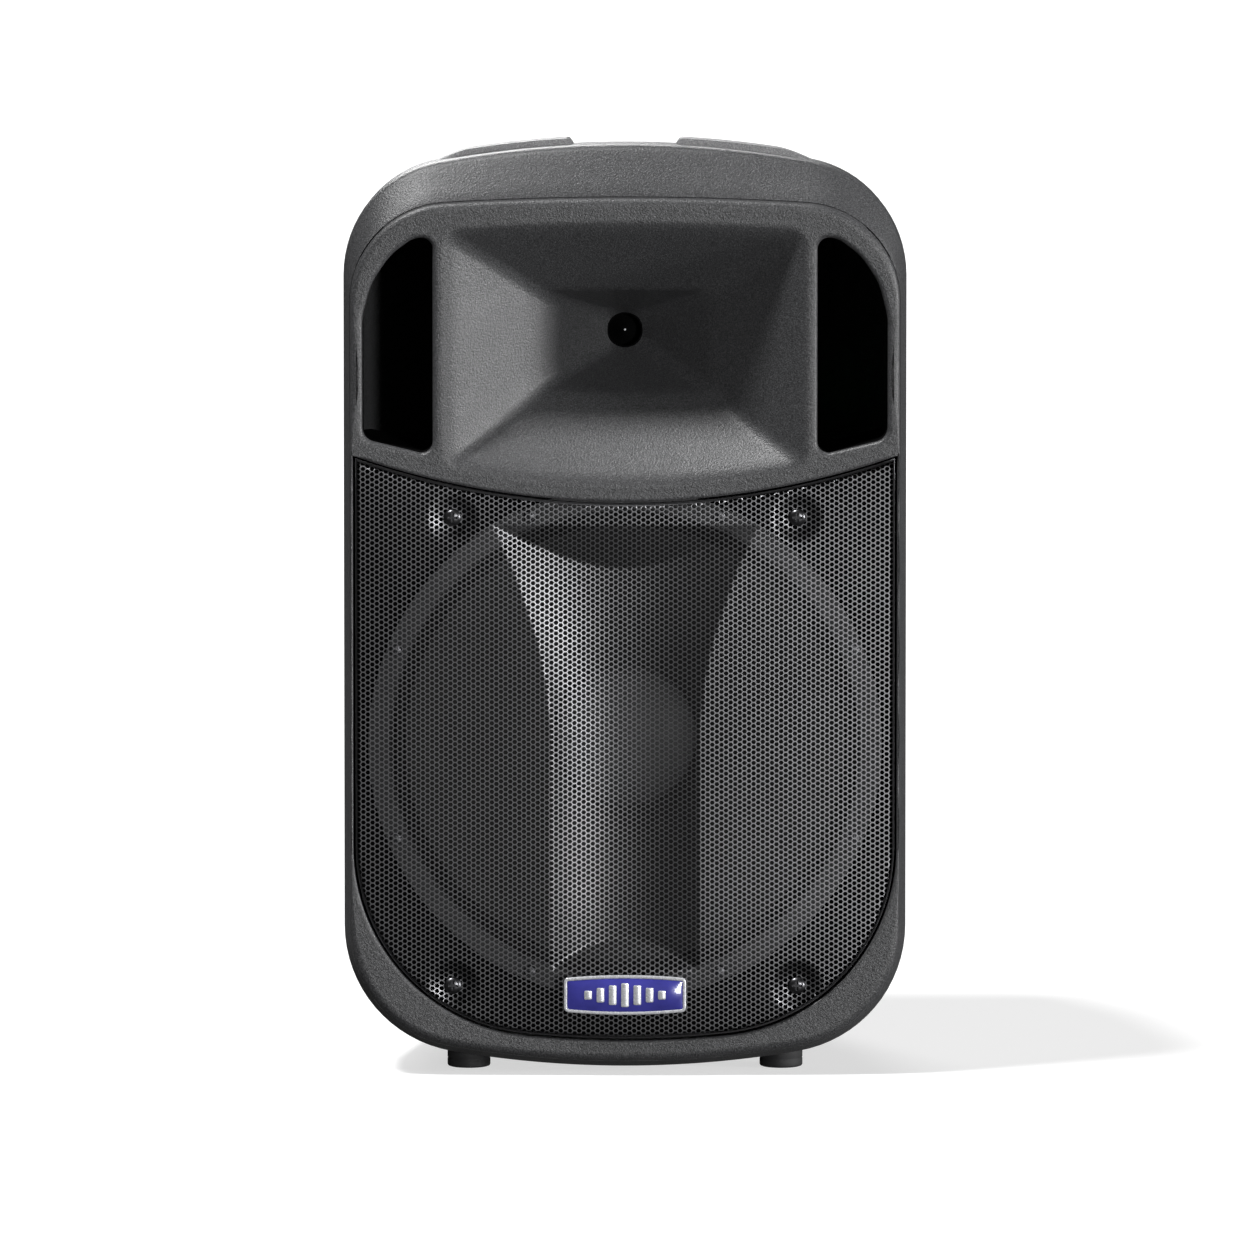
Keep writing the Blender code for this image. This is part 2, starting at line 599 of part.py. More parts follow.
def make_basket(mat):
    profile = [(0.1815, 0.013), (FRAME_R, 0.013), (FRAME_R, 0.016), (0.1830, 0.016), (0.1830, 0.022),
               (0.0880, 0.1117), (0.0500, 0.1117), (0.0500, 0.1090), (0.0860, 0.1090), (0.1785, 0.0215),
               (0.1775, 0.0210), (0.1775, 0.0178), (0.1815, 0.0178)]
    basket = woofer_piece("woofer_basket", profile, mat["cast"])
    windows = bmesh.new()
    for k in range(6):
        window = block((-0.042, FACE_Y + 0.034, 0.098), (0.042, FACE_Y + 0.084, 0.200))
        turn = Matrix.Translation((0, 0, WOOFER_Z)) @ Matrix.Rotation(2 * pi * k / 6, 4, "Y")
        for vert in window.verts:
            if vert.co.z < 0.15:
                vert.co.x *= 0.72
        bmesh.ops.transform(window, matrix=turn, verts=window.verts)
        piece = bpy.data.meshes.new("window")
        window.to_mesh(piece)
        window.free()
        windows.from_mesh(piece)
        bpy.data.meshes.remove(piece)
    cut(basket, "basket_windows", windows)
    cut(basket, "basket_holes", woofer_screw_ring(0.0028, FACE_Y + 0.005, FACE_Y + 0.020))


def make_woofer(mat):
    make_basket(mat)
    woofer_piece("woofer_gasket", [(0.1785, 0.0130), (0.1812, 0.0130), (0.1812, 0.0162), (0.1785, 0.0162)],
                 mat["rubber"])
    pleats = [(0.1812, 0.0165), (0.1780, 0.0165), (0.1756, 0.0140), (0.1724, 0.0165), (0.1696, 0.0140),
              (0.1655, 0.0168)]
    woofer_piece("woofer_surround", strip(pleats, 0.0010), mat["cloth"])
    cone = [(0.1675, 0.0182), (0.130, 0.0350), (0.080, 0.0605), (0.0398, 0.0830)]
    woofer_piece("woofer_cone", strip(cone, 0.0016), mat["paper"])
    cap = [(0, 0.0560), (0.020, 0.0577), (0.038, 0.0628), (0.0546, 0.0720)]
    woofer_piece("woofer_dust_cap", cap + [(r, y + 0.0012) for r, y in cap[::-1]][:-1] + [(0, 0.0572)],
                 mat["paper"])
    coil = [(0.0377, 0.0815), (0.0384, 0.0815), (0.0384, 0.1300), (0.0377, 0.1300)]
    woofer_piece("woofer_voice_coil", coil, mat["copper"])
    ripples = [(0.0390 + 0.0120 * k, 0.0930 + 0.0020 * (k % 2)) for k in range(6)]
    woofer_piece("woofer_spider", strip(ripples, 0.0008), mat["cloth"])
    woofer_piece("woofer_top_plate", [(0.0398, 0.1120), (0.070, 0.1120), (0.070, 0.1200), (0.0398, 0.1200)],
                 mat["steel"])
    woofer_piece("woofer_magnet", [(0.0480, 0.1203), (0.0780, 0.1203), (0.0780, 0.1403), (0.0480, 0.1403)],
                 mat["ferrite"])
    yoke = [(0.0120, 0.1120), (0.0366, 0.1120), (0.0366, 0.1406), (0.0720, 0.1406), (0.0720, 0.1486),
            (0.0120, 0.1486)]
    woofer_piece("woofer_pole_piece", yoke, mat["steel"])
    for number, (x, z) in enumerate(woofer_screw_places(), 1):
        profile = [(0, 0.0090), (0.0042, 0.0095), (0.0052, 0.0127), (0.0021, 0.0127),
                   (0.0021, 0.0205), (0, 0.0205)]
        add(f"woofer_screw_{number}", turned(profile, (x, FACE_Y, z), sides=8), mat["screw"])


# ---- Compression driver on the horn -------------------------------------------------------------
def make_driver(mat):
    def piece(name, profile, finish):
        origin = (0, DRIVER_Y + GAP, HORN_Z)
        return add(name, turned(profile, origin, sides=20), finish, origin)

    piece("driver_flange", [(0.0127, 0), (0.050, 0), (0.050, 0.010), (0.0215, 0.010), (0.0127, 0.005)],
          mat["steel"])
    piece("driver_magnet", [(0.0265, 0.0103), (0.050, 0.0103), (0.050, 0.0253), (0.0265, 0.0253)],
          mat["ferrite"])
    piece("driver_phase_plug", [(0, 0.0010), (0.0023, 0.0020), (0.0090, 0.0103), (0.0205, 0.0210),
                                (0.0205, 0.0240), (0.0110, 0.0195), (0, 0.0175)], mat["knob"])
    piece("driver_diaphragm", [(0, 0.0190), (0.0110, 0.0210), (0.0200, 0.0256), (0.0250, 0.0260),
                               (0.0250, 0.0267), (0.0198, 0.0264), (0.0110, 0.0218), (0, 0.0198)],
          mat["titanium"])
    piece("driver_rear_cap", [(0, 0.0430), (0.038, 0.0430), (0.046, 0.0380), (0.046, 0.0256),
                             (0.0430, 0.0256),
                              (0.0430, 0.0360), (0.036, 0.0400), (0, 0.0400)], mat["knob"])


# ---- Back panel ---------------------------------------------------------------------------------
def latch_box(x, grow, low, high):
    return block((x - 0.0042 - grow, low, SOCKET_Z + LATCH_RISE - 0.0018 - grow),
                 (x + 0.0042 + grow, high, SOCKET_Z + LATCH_RISE + 0.0018 + grow))


def make_panel(mat):
    low, high = PANEL_Z
    panel = add("amp_panel", block((-PANEL_HALF, PANEL_Y, low), (PANEL_HALF, PANEL_OUT, high)), mat["panel"])
    near, far = PANEL_Y - 0.01, PANEL_OUT + 0.01
    for number, x in enumerate(SOCKET_X, 1):
        cut(panel, f"panel_socket_{number}", cylinder((x, 0, SOCKET_Z), 0.0122, near, far, sides=24))
    for number, x in enumerate(SOCKET_X[:2], 1):
        cut(panel, f"panel_latch_{number}", latch_box(x, 0.0006, near, far))
        cut(panel, f"panel_knob_{number}", cylinder((x, 0, KNOB_Z), 0.0036, near, far, sides=12))
        cut(panel, f"panel_button_{number}", prism(box_outline(x, BUTTON_Z, 0.0039, 0.0039), near, far))
    cut(panel, "panel_inlet", prism(box_outline(*INLET, 0.0145, 0.0185), near, far))
    cut(panel, "panel_rocker", prism(box_outline(*ROCKER, 0.0100, 0.0140), near, far))
    cut(panel, "panel_sink", block((-0.078, near, 0.385), (0.078, far, 0.535)))


def make_heat_sink(mat):
    """A finned plate whose fins stand out through the panel."""
    sink = add("heat_sink", block((-0.084, PANEL_Y - 0.006, 0.379), (0.084, PANEL_Y - GAP, 0.541)),
               mat["aluminium"])
    fins = bmesh.new()
    for k in range(13):
        x = -0.0744 + 0.0124 * k
        block((x - 0.0014, PANEL_Y - 0.003, 0.387), (x + 0.0014, BACK_Y - 0.0015, 0.533), bm=fins)
    join(sink, "sink_fins", fins)


def make_board(mat):
    board = add("circuit_board", block((-0.086, 0.1480, 0.156), (0.086, 0.1496, 0.520)), mat["board"])
    posts = bmesh.new()
    for x in (-0.080, 0.080):
        for z in (0.225, 0.360):
            cylinder((x, 0, z), 0.0030, 0.1490, PANEL_Y - GAP, sides=10, bm=posts)
    join(board, "board_posts", posts)
    ring = [(0.018, 0.1100), (0.045, 0.1100), (0.048, 0.1130), (0.048, 0.1440),
            (0.045, 0.1477), (0.018, 0.1477)]
    add("transformer", turned(ring, (0, 0, 0.235)), mat["copper"])


def make_sockets(mat):
    for number, x in enumerate(SOCKET_X, 1):
        is_input = number < 3
        name = f"input_socket_{number}" if is_input else "link_socket"
        flange = prism(box_outline(x, SOCKET_Z, 0.0130, 0.0165), PANEL_OUT + GAP, PANEL_OUT + 0.0023)
        corners = [e for e in flange.edges if abs(e.verts[0].co.y - e.verts[1].co.y) > 0.001]
        bmesh.ops.bevel(flange, geom=corners, affect="EDGES", offset=0.003, segments=2, profile=0.5,
                        material=-1)
        socket = add(name, flange, mat["knob"])
        join(socket, f"barrel_{number}", cylinder((x, 0, SOCKET_Z), 0.0119, 0.1620,
                                              PANEL_OUT + 0.002, sides=24))
        island = 0.1720 if is_input else 0.1680
        well = [(0, island), (0.0050, island), (0.0095, 0.1680), (0.0095, BACK_Y), (0, BACK_Y)]
        if is_input:
            well.insert(2, (0.0050, 0.1680))
        cut(socket, f"socket_well_{number}", turned(well, (x, 0, SOCKET_Z), sides=24))
        if not is_input:
            continue
        cut(socket, f"jack_bore_{number}", cylinder((x, 0, SOCKET_Z), 0.0033, 0.1640, 0.1730, sides=16))
        cut(socket, f"latch_slot_{number}", latch_box(x, GAP, PANEL_Y - 0.0035, BACK_Y))
        origin = (x, PANEL_OUT, SOCKET_Z + LATCH_RISE)
        tab = bevel_all(latch_box(x, 0.0, PANEL_Y - 0.0010, PANEL_OUT + 0.0043), 0.0004)
        add(f"latch_tab_{number}", tab, mat["latch"], origin)


def make_knobs_and_buttons(mat):
    for number, x in enumerate(SOCKET_X[:2], 1):
        profile = [(0, 0.1690), (0.0030, 0.1690), (0.0030, PANEL_OUT + 0.0006), (0.0088, PANEL_OUT + 0.0006),
                   (0.0086, PANEL_OUT + 0.0025), (0.0074, PANEL_OUT + 0.0030), (0.0068, PANEL_OUT + 0.0110),
                   (0.0058, PANEL_OUT + 0.0118), (0, PANEL_OUT + 0.0118)]
        knob = turned(profile, (x, 0, KNOB_Z), sides=24)
        add(f"gain_knob_{number}", knob, mat["knob"], (x, PANEL_OUT, KNOB_Z))
        cap = prism(box_outline(x, BUTTON_Z, 0.0034, 0.0034), 0.1720, PANEL_OUT + 0.0042)
        add(f"mode_button_{number}", bevel_all(cap, 0.0005), mat["button"], (x, PANEL_OUT, BUTTON_Z))


def make_mains_inlet(mat):
    x, z = INLET
    inlet = add("mains_inlet", prism(box_outline(x, z, 0.0165, 0.0245), PANEL_OUT + GAP, PANEL_OUT + 0.0028),
                mat["knob"])
    join(inlet, "inlet_body", prism(box_outline(x, z, 0.0141, 0.0181), 0.1600, PANEL_OUT + 0.002))
    cut(inlet, "inlet_well", prism(box_outline(x, z + 0.0050, 0.0120, 0.0100), 0.1655, BACK_Y))
    cut(inlet, "fuse_slot", prism(box_outline(x, z - 0.0120, 0.0108, 0.0044), 0.1625, BACK_Y))
    drawer = prism(box_outline(x, z - 0.0120, 0.0105, 0.0041), 0.1630, PANEL_OUT + 0.0040)
    drawer = add("fuse_drawer", drawer, mat["knob"], (x, PANEL_OUT, z - 0.0120))
    cut(drawer, "fuse_bay", block((x - 0.0095, 0.1650, z - 0.0120 - 0.0025), (x + 0.0095, 0.1790, z)))


def make_power_rocker(mat):
    x, z = ROCKER
    bezel = add("rocker_bezel", prism(box_outline(x, z, 0.0115, 0.0160), PANEL_OUT + GAP, PANEL_OUT + 0.0023),
                mat["knob"])
    join(bezel, "rocker_body", prism(box_outline(x, z, 0.0096, 0.0136), 0.1660, PANEL_OUT + 0.002))
    cut(bezel, "rocker_well", prism(box_outline(x, z, 0.0080, 0.0124), 0.1690, BACK_Y))
    pivot = Vector((x, PANEL_OUT - 0.0010, z))
    side = [(-0.0108, 0.0058), (-0.0100, -0.0015), (0, -0.0085), (0.0100, -0.0015),
            (0.0108, 0.0058), (0, 0.0036)]
    bm = bmesh.new()
    face = bm.faces.new([bm.verts.new(pivot + Vector((-0.0077, out, up))) for up, out in side])
    grown = bmesh.ops.extrude_face_region(bm, geom=[face])["geom"]
    bmesh.ops.translate(bm, verts=[v for v in grown if isinstance(v, bmesh.types.BMVert)], vec=(0.0154, 0, 0))
    bmesh.ops.recalc_face_normals(bm, faces=bm.faces)
    bmesh.ops.rotate(bm, verts=bm.verts, cent=pivot, matrix=Matrix.Rotation(ROCKER_TILT, 3, "X"))
    add("power_rocker", bm, mat["knob"], pivot)


def main():
    for obj in list(bpy.data.objects):
        bpy.data.objects.remove(obj)
    mat = make_materials()
    make_front_shell(mat)
    make_rear_shell(mat)
    make_shell_gasket(mat)
    make_port_ducts(mat)
    make_grille(mat)
    make_grille_screws(mat)
    make_badge(mat)
    make_feet(mat)
    make_handle(mat)
    make_pole_socket(mat)
    make_fly_inserts(mat)
    make_woofer(mat)
    make_driver(mat)
    make_panel(mat)
    make_heat_sink(mat)
    make_board(mat)
    make_sockets(mat)
    make_knobs_and_buttons(mat)
    make_mains_inlet(mat)
    make_power_rocker(mat)


main()
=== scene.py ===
"""The loudspeaker cabinet's finished surfaces: shells, grille, woofer, back panel and their materials."""

from math import asin, cos, hypot, pi, radians, sin, sqrt

import bmesh
import bpy
import numpy as np
from mathutils import Matrix, Vector, kdtree


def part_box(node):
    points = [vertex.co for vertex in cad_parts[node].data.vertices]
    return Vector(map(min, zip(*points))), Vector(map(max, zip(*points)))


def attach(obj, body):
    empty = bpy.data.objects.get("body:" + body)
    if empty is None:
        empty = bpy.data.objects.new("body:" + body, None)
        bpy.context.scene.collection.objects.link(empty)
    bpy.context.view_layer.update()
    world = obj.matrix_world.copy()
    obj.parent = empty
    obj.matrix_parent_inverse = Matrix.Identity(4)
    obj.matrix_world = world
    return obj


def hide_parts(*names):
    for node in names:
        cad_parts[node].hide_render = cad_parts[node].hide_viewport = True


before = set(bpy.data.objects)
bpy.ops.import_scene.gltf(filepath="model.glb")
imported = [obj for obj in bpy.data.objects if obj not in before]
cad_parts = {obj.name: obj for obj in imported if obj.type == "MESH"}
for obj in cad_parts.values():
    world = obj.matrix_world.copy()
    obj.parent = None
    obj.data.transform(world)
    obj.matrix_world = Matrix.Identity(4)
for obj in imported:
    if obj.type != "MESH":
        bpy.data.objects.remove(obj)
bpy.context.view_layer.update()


def low(node):
    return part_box(node)[0]


def high(node):
    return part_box(node)[1]


def middle(node):
    return (low(node) + high(node)) / 2


def half_width(node):
    return (high(node).x - low(node).x) / 2


def put(node, values):
    """Sets a shader node's inputs by name."""
    for key, value in values.items():
        node.inputs[key].default_value = value


# ---- Places taken from the frame ----
FACE = low("front_shell").y
PARTING = low("shell_gasket").y - 0.0003
BACK = high("rear_shell").y
HALF = high("front_shell").x
BASE = low("front_shell").z
CROWN = low("grille").y - FACE
WOOFER_Z = middle("woofer_cone").z
HORN_Z = middle("driver_magnet").z
THROAT = low("driver_flange").y - FACE
EDGE_ARC = 0.780
BAFFLE = 0.0163
BAFFLE_BACK = 0.024


# ---- Finishes ----
class Finish:
    """A material under construction: a Principled shader with a few named helpers for its pattern."""

    def __init__(self, name, colour, roughness, metallic=0.0, specular=0.5):
        self.material = bpy.data.materials.new(name)
        self.material.use_nodes = True
        self.nodes = self.material.node_tree.nodes
        self.links = self.material.node_tree.links
        self.shader = self.nodes["Principled BSDF"]
        put(self.shader, {"Base Color": (*colour, 1.0), "Roughness": roughness, "Metallic": metallic,
                          "Specular IOR Level": specular})
        self.place = self.nodes.new("ShaderNodeTexCoord").outputs["Object"]

    def noise(self, scale, detail=2.0, rough=0.5):
        made = self.nodes.new("ShaderNodeTexNoise")
        put(made, {"Scale": scale, "Detail": detail, "Roughness": rough})
        self.links.new(self.place, made.inputs["Vector"])
        return made.outputs["Fac"]

    def cells(self, scale):
        made = self.nodes.new("ShaderNodeTexVoronoi")
        put(made, {"Scale": scale})
        self.links.new(self.place, made.inputs["Vector"])
        return made.outputs["Distance"]

    def tone(self, source, *stops):
        """Colours the surface by a value; each stop is (position, colour)."""
        made = self.nodes.new("ShaderNodeValToRGB")
        band = made.color_ramp
        while len(band.elements) < len(stops):
            band.elements.new(0.5)
        for element, (position, colour) in zip(band.elements, stops):
            element.position = position
            element.color = (*colour, 1.0)
        self.links.new(source, made.inputs["Fac"])
        self.links.new(made.outputs["Color"], self.shader.inputs["Base Color"])

    def roughness(self, source, near, far):
        made = self.nodes.new("ShaderNodeMapRange")
        put(made, {"To Min": near, "To Max": far})
        self.links.new(source, made.inputs["Value"])
        self.links.new(made.outputs["Result"], self.shader.inputs["Roughness"])

    def bump(self, source, strength, distance):
        """Adds fine relief on top of any relief that is already there."""
        made = self.nodes.new("ShaderNodeBump")
        put(made, {"Strength": strength, "Distance": distance})
        last = self.shader.inputs["Normal"].links
        if last:
            self.links.new(last[0].from_socket, made.inputs["Normal"])
        self.links.new(source, made.inputs["Height"])
        self.links.new(made.outputs["Normal"], self.shader.inputs["Normal"])


def grained_plastic(name, dark, pale, roughness, grain=1.0, specular=0.5):
    """Moulded plastic with a fine leather grain, a pepper speckle and slow shade changes."""
    made = Finish(name, dark, roughness, 0.0, specular)
    speckle = made.noise(950.0, 3.0, 0.75)
    middle_grey = tuple(a * 0.6 + b * 0.4 for a, b in zip(dark, pale))
    made.tone(speckle, (0.34, dark), (0.52, middle_grey), (0.68, pale))
    made.roughness(made.noise(38.0, 3.0), roughness - 0.05, roughness + 0.06)
    made.bump(made.noise(620.0, 3.0, 0.65), 0.60 * grain, 0.0007)
    made.bump(made.cells(900.0), 0.25 * grain, 0.0004)
    return made.material


def painted_sheet(name, colour, roughness):
    made = Finish(name, colour, roughness, 0.0, 0.5)
    made.roughness(made.noise(90.0, 3.0), roughness - 0.05, roughness + 0.08)
    made.bump(made.noise(2600.0, 2.0), 0.10, 0.0001)
    return made.material


def soft_rubber(name):
    made = Finish(name, (0.014, 0.014, 0.015), 0.72)
    made.tone(made.noise(60.0, 4.0), (0.3, (0.011, 0.011, 0.012)), (0.7, (0.022, 0.022, 0.023)))
    made.bump(made.noise(900.0, 2.0), 0.2, 0.0002)
    return made.material


def plated_metal(name, colour, roughness):
    made = Finish(name, colour, roughness, 1.0)
    made.roughness(made.noise(220.0, 4.0), roughness - 0.06, roughness + 0.1)
    made.bump(made.noise(1800.0), 0.05, 0.0001)
    return made.material


def brushed_silver(name):
    made = Finish(name, (0.66, 0.67, 0.70), 0.26, 0.45)
    made.tone(made.noise(500.0, 3.0), (0.3, (0.60, 0.61, 0.64)), (0.7, (0.74, 0.75, 0.78)))
    made.roughness(made.noise(260.0, 3.0), 0.20, 0.34)
    return made.material


def coated_steel(name, colour, roughness):
    """Thin satin coating over steel: pale where it faces a light and dark elsewhere."""
    made = Finish(name, colour, roughness, 0.85)
    made.tone(made.noise(900.0, 3.0), (0.3, tuple(c * 0.85 for c in colour)), (0.7, colour))
    made.roughness(made.noise(700.0, 3.0), roughness - 0.05, roughness + 0.07)
    made.bump(made.noise(2400.0, 2.0), 0.15, 0.0001)
    return made.material


def pulp_paper(name):
    made = Finish(name, (0.020, 0.020, 0.021), 0.85)
    fibres = made.noise(420.0, 5.0, 0.7)
    made.tone(fibres, (0.35, (0.010, 0.010, 0.010)), (0.65, (0.024, 0.024, 0.024)))
    made.bump(made.noise(700.0, 5.0, 0.75), 0.5, 0.0006)
    return made.material


def doped_cloth(name):
    made = Finish(name, (0.008, 0.008, 0.008), 0.8, 0.0, 0.2)
    made.tone(made.cells(1100.0), (0.1, (0.004, 0.004, 0.004)), (0.6, (0.011, 0.011, 0.011)))
    made.bump(made.cells(1100.0), 0.4, 0.0003)
    return made.material


def cast_metal(name):
    made = Finish(name, (0.04, 0.04, 0.04), 0.75)
    made.tone(made.noise(500.0, 4.0), (0.3, (0.040, 0.040, 0.041)), (0.7, (0.062, 0.062, 0.064)))
    made.bump(made.noise(800.0, 3.0), 0.25, 0.0003)
    return made.material


def gloss_enamel(name, colour):
    made = Finish(name, colour, 0.22)
    put(made.shader, {"Coat Weight": 0.6, "Coat Roughness": 0.08})
    deep = tuple(c * 0.75 for c in colour)
    made.tone(made.noise(60.0, 2.0), (0.3, deep), (0.7, colour))
    return made.material


def moulded_trim(name, colour, roughness=0.45):
    made = Finish(name, colour, roughness)
    pale = tuple(min(1.0, c * 1.35 + 0.004) for c in colour)
    made.tone(made.noise(700.0, 3.0), (0.35, colour), (0.7, pale))
    made.roughness(made.noise(120.0, 3.0), roughness - 0.06, roughness + 0.08)
    made.bump(made.noise(1400.0, 2.0), 0.12, 0.0001)
    return made.material


def lamp(name, colour):
    made = Finish(name, colour, 0.25)
    put(made.shader, {"Emission Color": (*colour, 1.0), "Emission Strength": 0.4})
    made.tone(made.noise(300.0), (0.3, colour), (0.8, tuple(min(1, c * 1.2) for c in colour)))
    return made.material


SHELL = grained_plastic("charcoal_shell", (0.018, 0.018, 0.019), (0.112, 0.113, 0.117), 0.38)
# The roof pads' paler plastic is a painted highlight for the light falling on top of them.
PAINTED_HIGHLIGHT_PAD = grained_plastic("pad_painted_highlight", (0.075, 0.075, 0.077), (0.25, 0.25, 0.255), 0.42)
# A near-black finish that is painted shade, for port walls, the grille recess floor and the throat parts.
SHADE_BLACK = grained_plastic("painted_shade_black", (0.0010, 0.0010, 0.0011), (0.0030, 0.0030, 0.0032), 0.9, 0.5, 0.05)
MESH = coated_steel("grille_paint", (0.20, 0.20, 0.208), 0.39)
RUBBER = soft_rubber("matt_rubber")
SCREW = plated_metal("black_oxide", (0.10, 0.10, 0.105), 0.30)
STEEL = plated_metal("zinc_plate", (0.62, 0.63, 0.65), 0.30)
SILVER = brushed_silver("silver_trim")
PAPER = pulp_paper("pulp_cone")
CLOTH = doped_cloth("doped_surround")
CAP = moulded_trim("lacquered_cap", (0.050, 0.050, 0.051), 0.6)
CAST = cast_metal("cast_frame")
ENAMEL = gloss_enamel("blue_enamel", (0.050, 0.050, 0.330))
PANEL = painted_sheet("panel_paint", (0.028, 0.029, 0.031), 0.5)
ANODISED = painted_sheet("anodised_fins", (0.022, 0.022, 0.024), 0.42)
TRIM = moulded_trim("satin_trim", (0.016, 0.016, 0.018))
GREY = moulded_trim("grey_button", (0.30, 0.30, 0.31))
PRINT = moulded_trim("pale_print", (0.62, 0.62, 0.62), 0.5)
BOARD = moulded_trim("solder_mask", (0.02, 0.12, 0.05), 0.4)
COPPER = plated_metal("copper_winding", (0.70, 0.33, 0.18), 0.4)
FERRITE = moulded_trim("ferrite", (0.035, 0.035, 0.038), 0.6)


# ---- Outlines, as lists of (x, z) ----
def corner_arc(half, edge_z, arc, corner, sign, steps):
    middle_z = edge_z - sign * (arc - sqrt((arc - corner) ** 2 - (half - corner) ** 2))
    bow = asin((half - corner) / (arc - corner))
    points = []
    for step in range(steps + 1):
        turn = bow + (pi / 2 - bow) * step / steps
        points.append((half - corner + corner * sin(turn), middle_z + sign * corner * cos(turn)))
    return points, bow


def mirrored(right):
    return right + [(-x, z) for x, z in right[-2:0:-1]]


def rounded_outline(half, bottom, top, bottom_arc, top_arc, bottom_corner, top_corner,
                    steps=16, bow=14, side=10):
    """A box with bowed top and bottom edges and round corners, from the bottom's middle, turning to +x."""
    low_arc, low_turn = corner_arc(half, bottom, bottom_arc, bottom_corner, -1, steps)
    high_arc, high_turn = corner_arc(half, top, top_arc, top_corner, 1, steps)
    right = [(bottom_arc * sin(low_turn * k / bow), bottom + bottom_arc * (1 - cos(low_turn * k / bow)))
             for k in range(bow)]
    start, end = low_arc[-1][1], high_arc[-1][1]
    right += low_arc + [(half, start + (end - start) * k / side) for k in range(1, side)] + high_arc[::-1]
    right += [(top_arc * sin(high_turn * k / bow), top - top_arc * (1 - cos(high_turn * k / bow)))
              for k in range(bow - 1, -1, -1)]
    return mirrored(right)


SIDE_STEPS = 60


def cabinet_outline(inset=0.0, half=HALF, bottom=BASE, top=0.7125, low_r=0.099, top_r=0.088):
    return rounded_outline(half - inset, bottom + inset, top - inset, EDGE_ARC - inset, EDGE_ARC - inset,
                           low_r - inset, top_r - inset, side=SIDE_STEPS)


def panel_outline(inset=0.0):
    return rounded_outline(0.210 - inset, 0.011 + inset, 0.674 - inset, EDGE_ARC - inset, 2.34 - inset,
                           0.092 - inset, 0.076 - inset, side=SIDE_STEPS)


RECESS_HALF, RECESS_BOTTOM, RECESS_ARC, RECESS_CORNER = 0.2076, 0.027, 0.758, 0.145
SMILE_Z, SMILE_ARC = 0.4414, 0.631


def grille_outline(inset=0.0, steps=30, bow=24, side=14):
    """The grille opening: round below, with a top edge that curves down in the middle."""
    half = RECESS_HALF - inset
    arc = RECESS_ARC - inset
    low_arc, turn = corner_arc(half, RECESS_BOTTOM + inset, arc, RECESS_CORNER - inset, -1, steps)
    right = [(arc * sin(turn * k / bow), RECESS_BOTTOM + inset + arc * (1 - cos(turn * k / bow)))
             for k in range(bow)]
    smile = SMILE_ARC + inset
    centre = SMILE_Z + SMILE_ARC
    start, end = low_arc[-1][1], centre - sqrt(smile ** 2 - half ** 2)
    right += low_arc + [(half, start + (end - start) * k / side) for k in range(1, side)]
    right += [(half * k / bow, centre - sqrt(smile ** 2 - (half * k / bow) ** 2)) for k in range(bow, -1, -1)]
    return mirrored(right)


def filleted(corners, steps=7):
    """An outline from (x, z, radius) corners, each rounded with an arc."""
    points = []
    count = len(corners)
    for k in range(count):
        here = Vector(corners[k][:2])
        before = (Vector(corners[k - 1][:2]) - here).normalized()
        after = (Vector(corners[(k + 1) % count][:2]) - here).normalized()
        radius = corners[k][2]
        opening = before.angle(after)
        reach = radius / abs(sin(opening / 2) / cos(opening / 2))
        start, end = here + before * reach, here + after * reach
        centre = here + (before + after).normalized() * (radius / sin(opening / 2))
        first, last = start - centre, end - centre
        for step in range(steps + 1):
            way = first.lerp(last, step / steps).normalized() * radius
            points.append(tuple(centre + way))
    return points


def soft_box(left, right, bottom, top, low_corner, high_corner, steps):
    """A box with round corners, from its lower right one, turning upwards."""
    return filleted([(right, bottom, low_corner), (right, top, high_corner), (left, top, high_corner),
                     (left, bottom, low_corner)], steps)


def offset(points, distance):
    """The outline moved outwards (it turns from +x towards +z, as seen from the front)."""
    moved = []
    for k, here in enumerate(points):
        ahead = Vector(points[(k + 1) % len(points)]) - Vector(points[k - 1])
        out = Vector((ahead.y, -ahead.x)).normalized()
        moved.append((here[0] + out.x * distance, here[1] + out.y * distance))
    return moved


def port_outline(side):
    right = filleted([(0.1467, 0.4765, 0.0085), (0.2002, 0.4895, 0.0110), (0.2002, 0.5830, 0.050),
                      (0.1935, 0.6080, 0.050), (0.1790, 0.6300, 0.050), (0.1615, 0.6428, 0.018),
                      (0.1467, 0.6436, 0.0085)])
    return right if side > 0 else [(-x, z) for x, z in right[::-1]]


def circle(radius, z, sides=96):
    return [(radius * cos(2 * pi * k / sides), z + radius * sin(2 * pi * k / sides)) for k in range(sides)]


def each(value, points):
    """A value for every point; a list of values stays as it is."""
    return value if hasattr(value, "__len__") else [value] * len(points)


def mix(a, b, share):
    """An outline between two outlines; share may be one number or one for each point."""
    return [(p[0] + (q[0] - p[0]) * s, p[1] + (q[1] - p[1]) * s) for p, q, s in zip(a, b, each(share, a))]


def curve(a, b, c, t):
    """The place at t on a quadratic curve from a to c that b pulls."""
    return a * (1 - t) ** 2 + b * 2 * t * (1 - t) + c * t ** 2


# ---- Mesh helpers ----
def wire_ring(bm, outline, y):
    """A closed loop of edges along an outline, at one depth or at a depth for each point."""
    verts = [bm.verts.new((x, d, z)) for (x, z), d in zip(outline, each(y, outline))]
    return verts, [bm.edges.new(pair) for pair in zip(verts, verts[1:] + verts[:1])]


def verts_of(items):
    return [item for item in items if isinstance(item, bmesh.types.BMVert)]


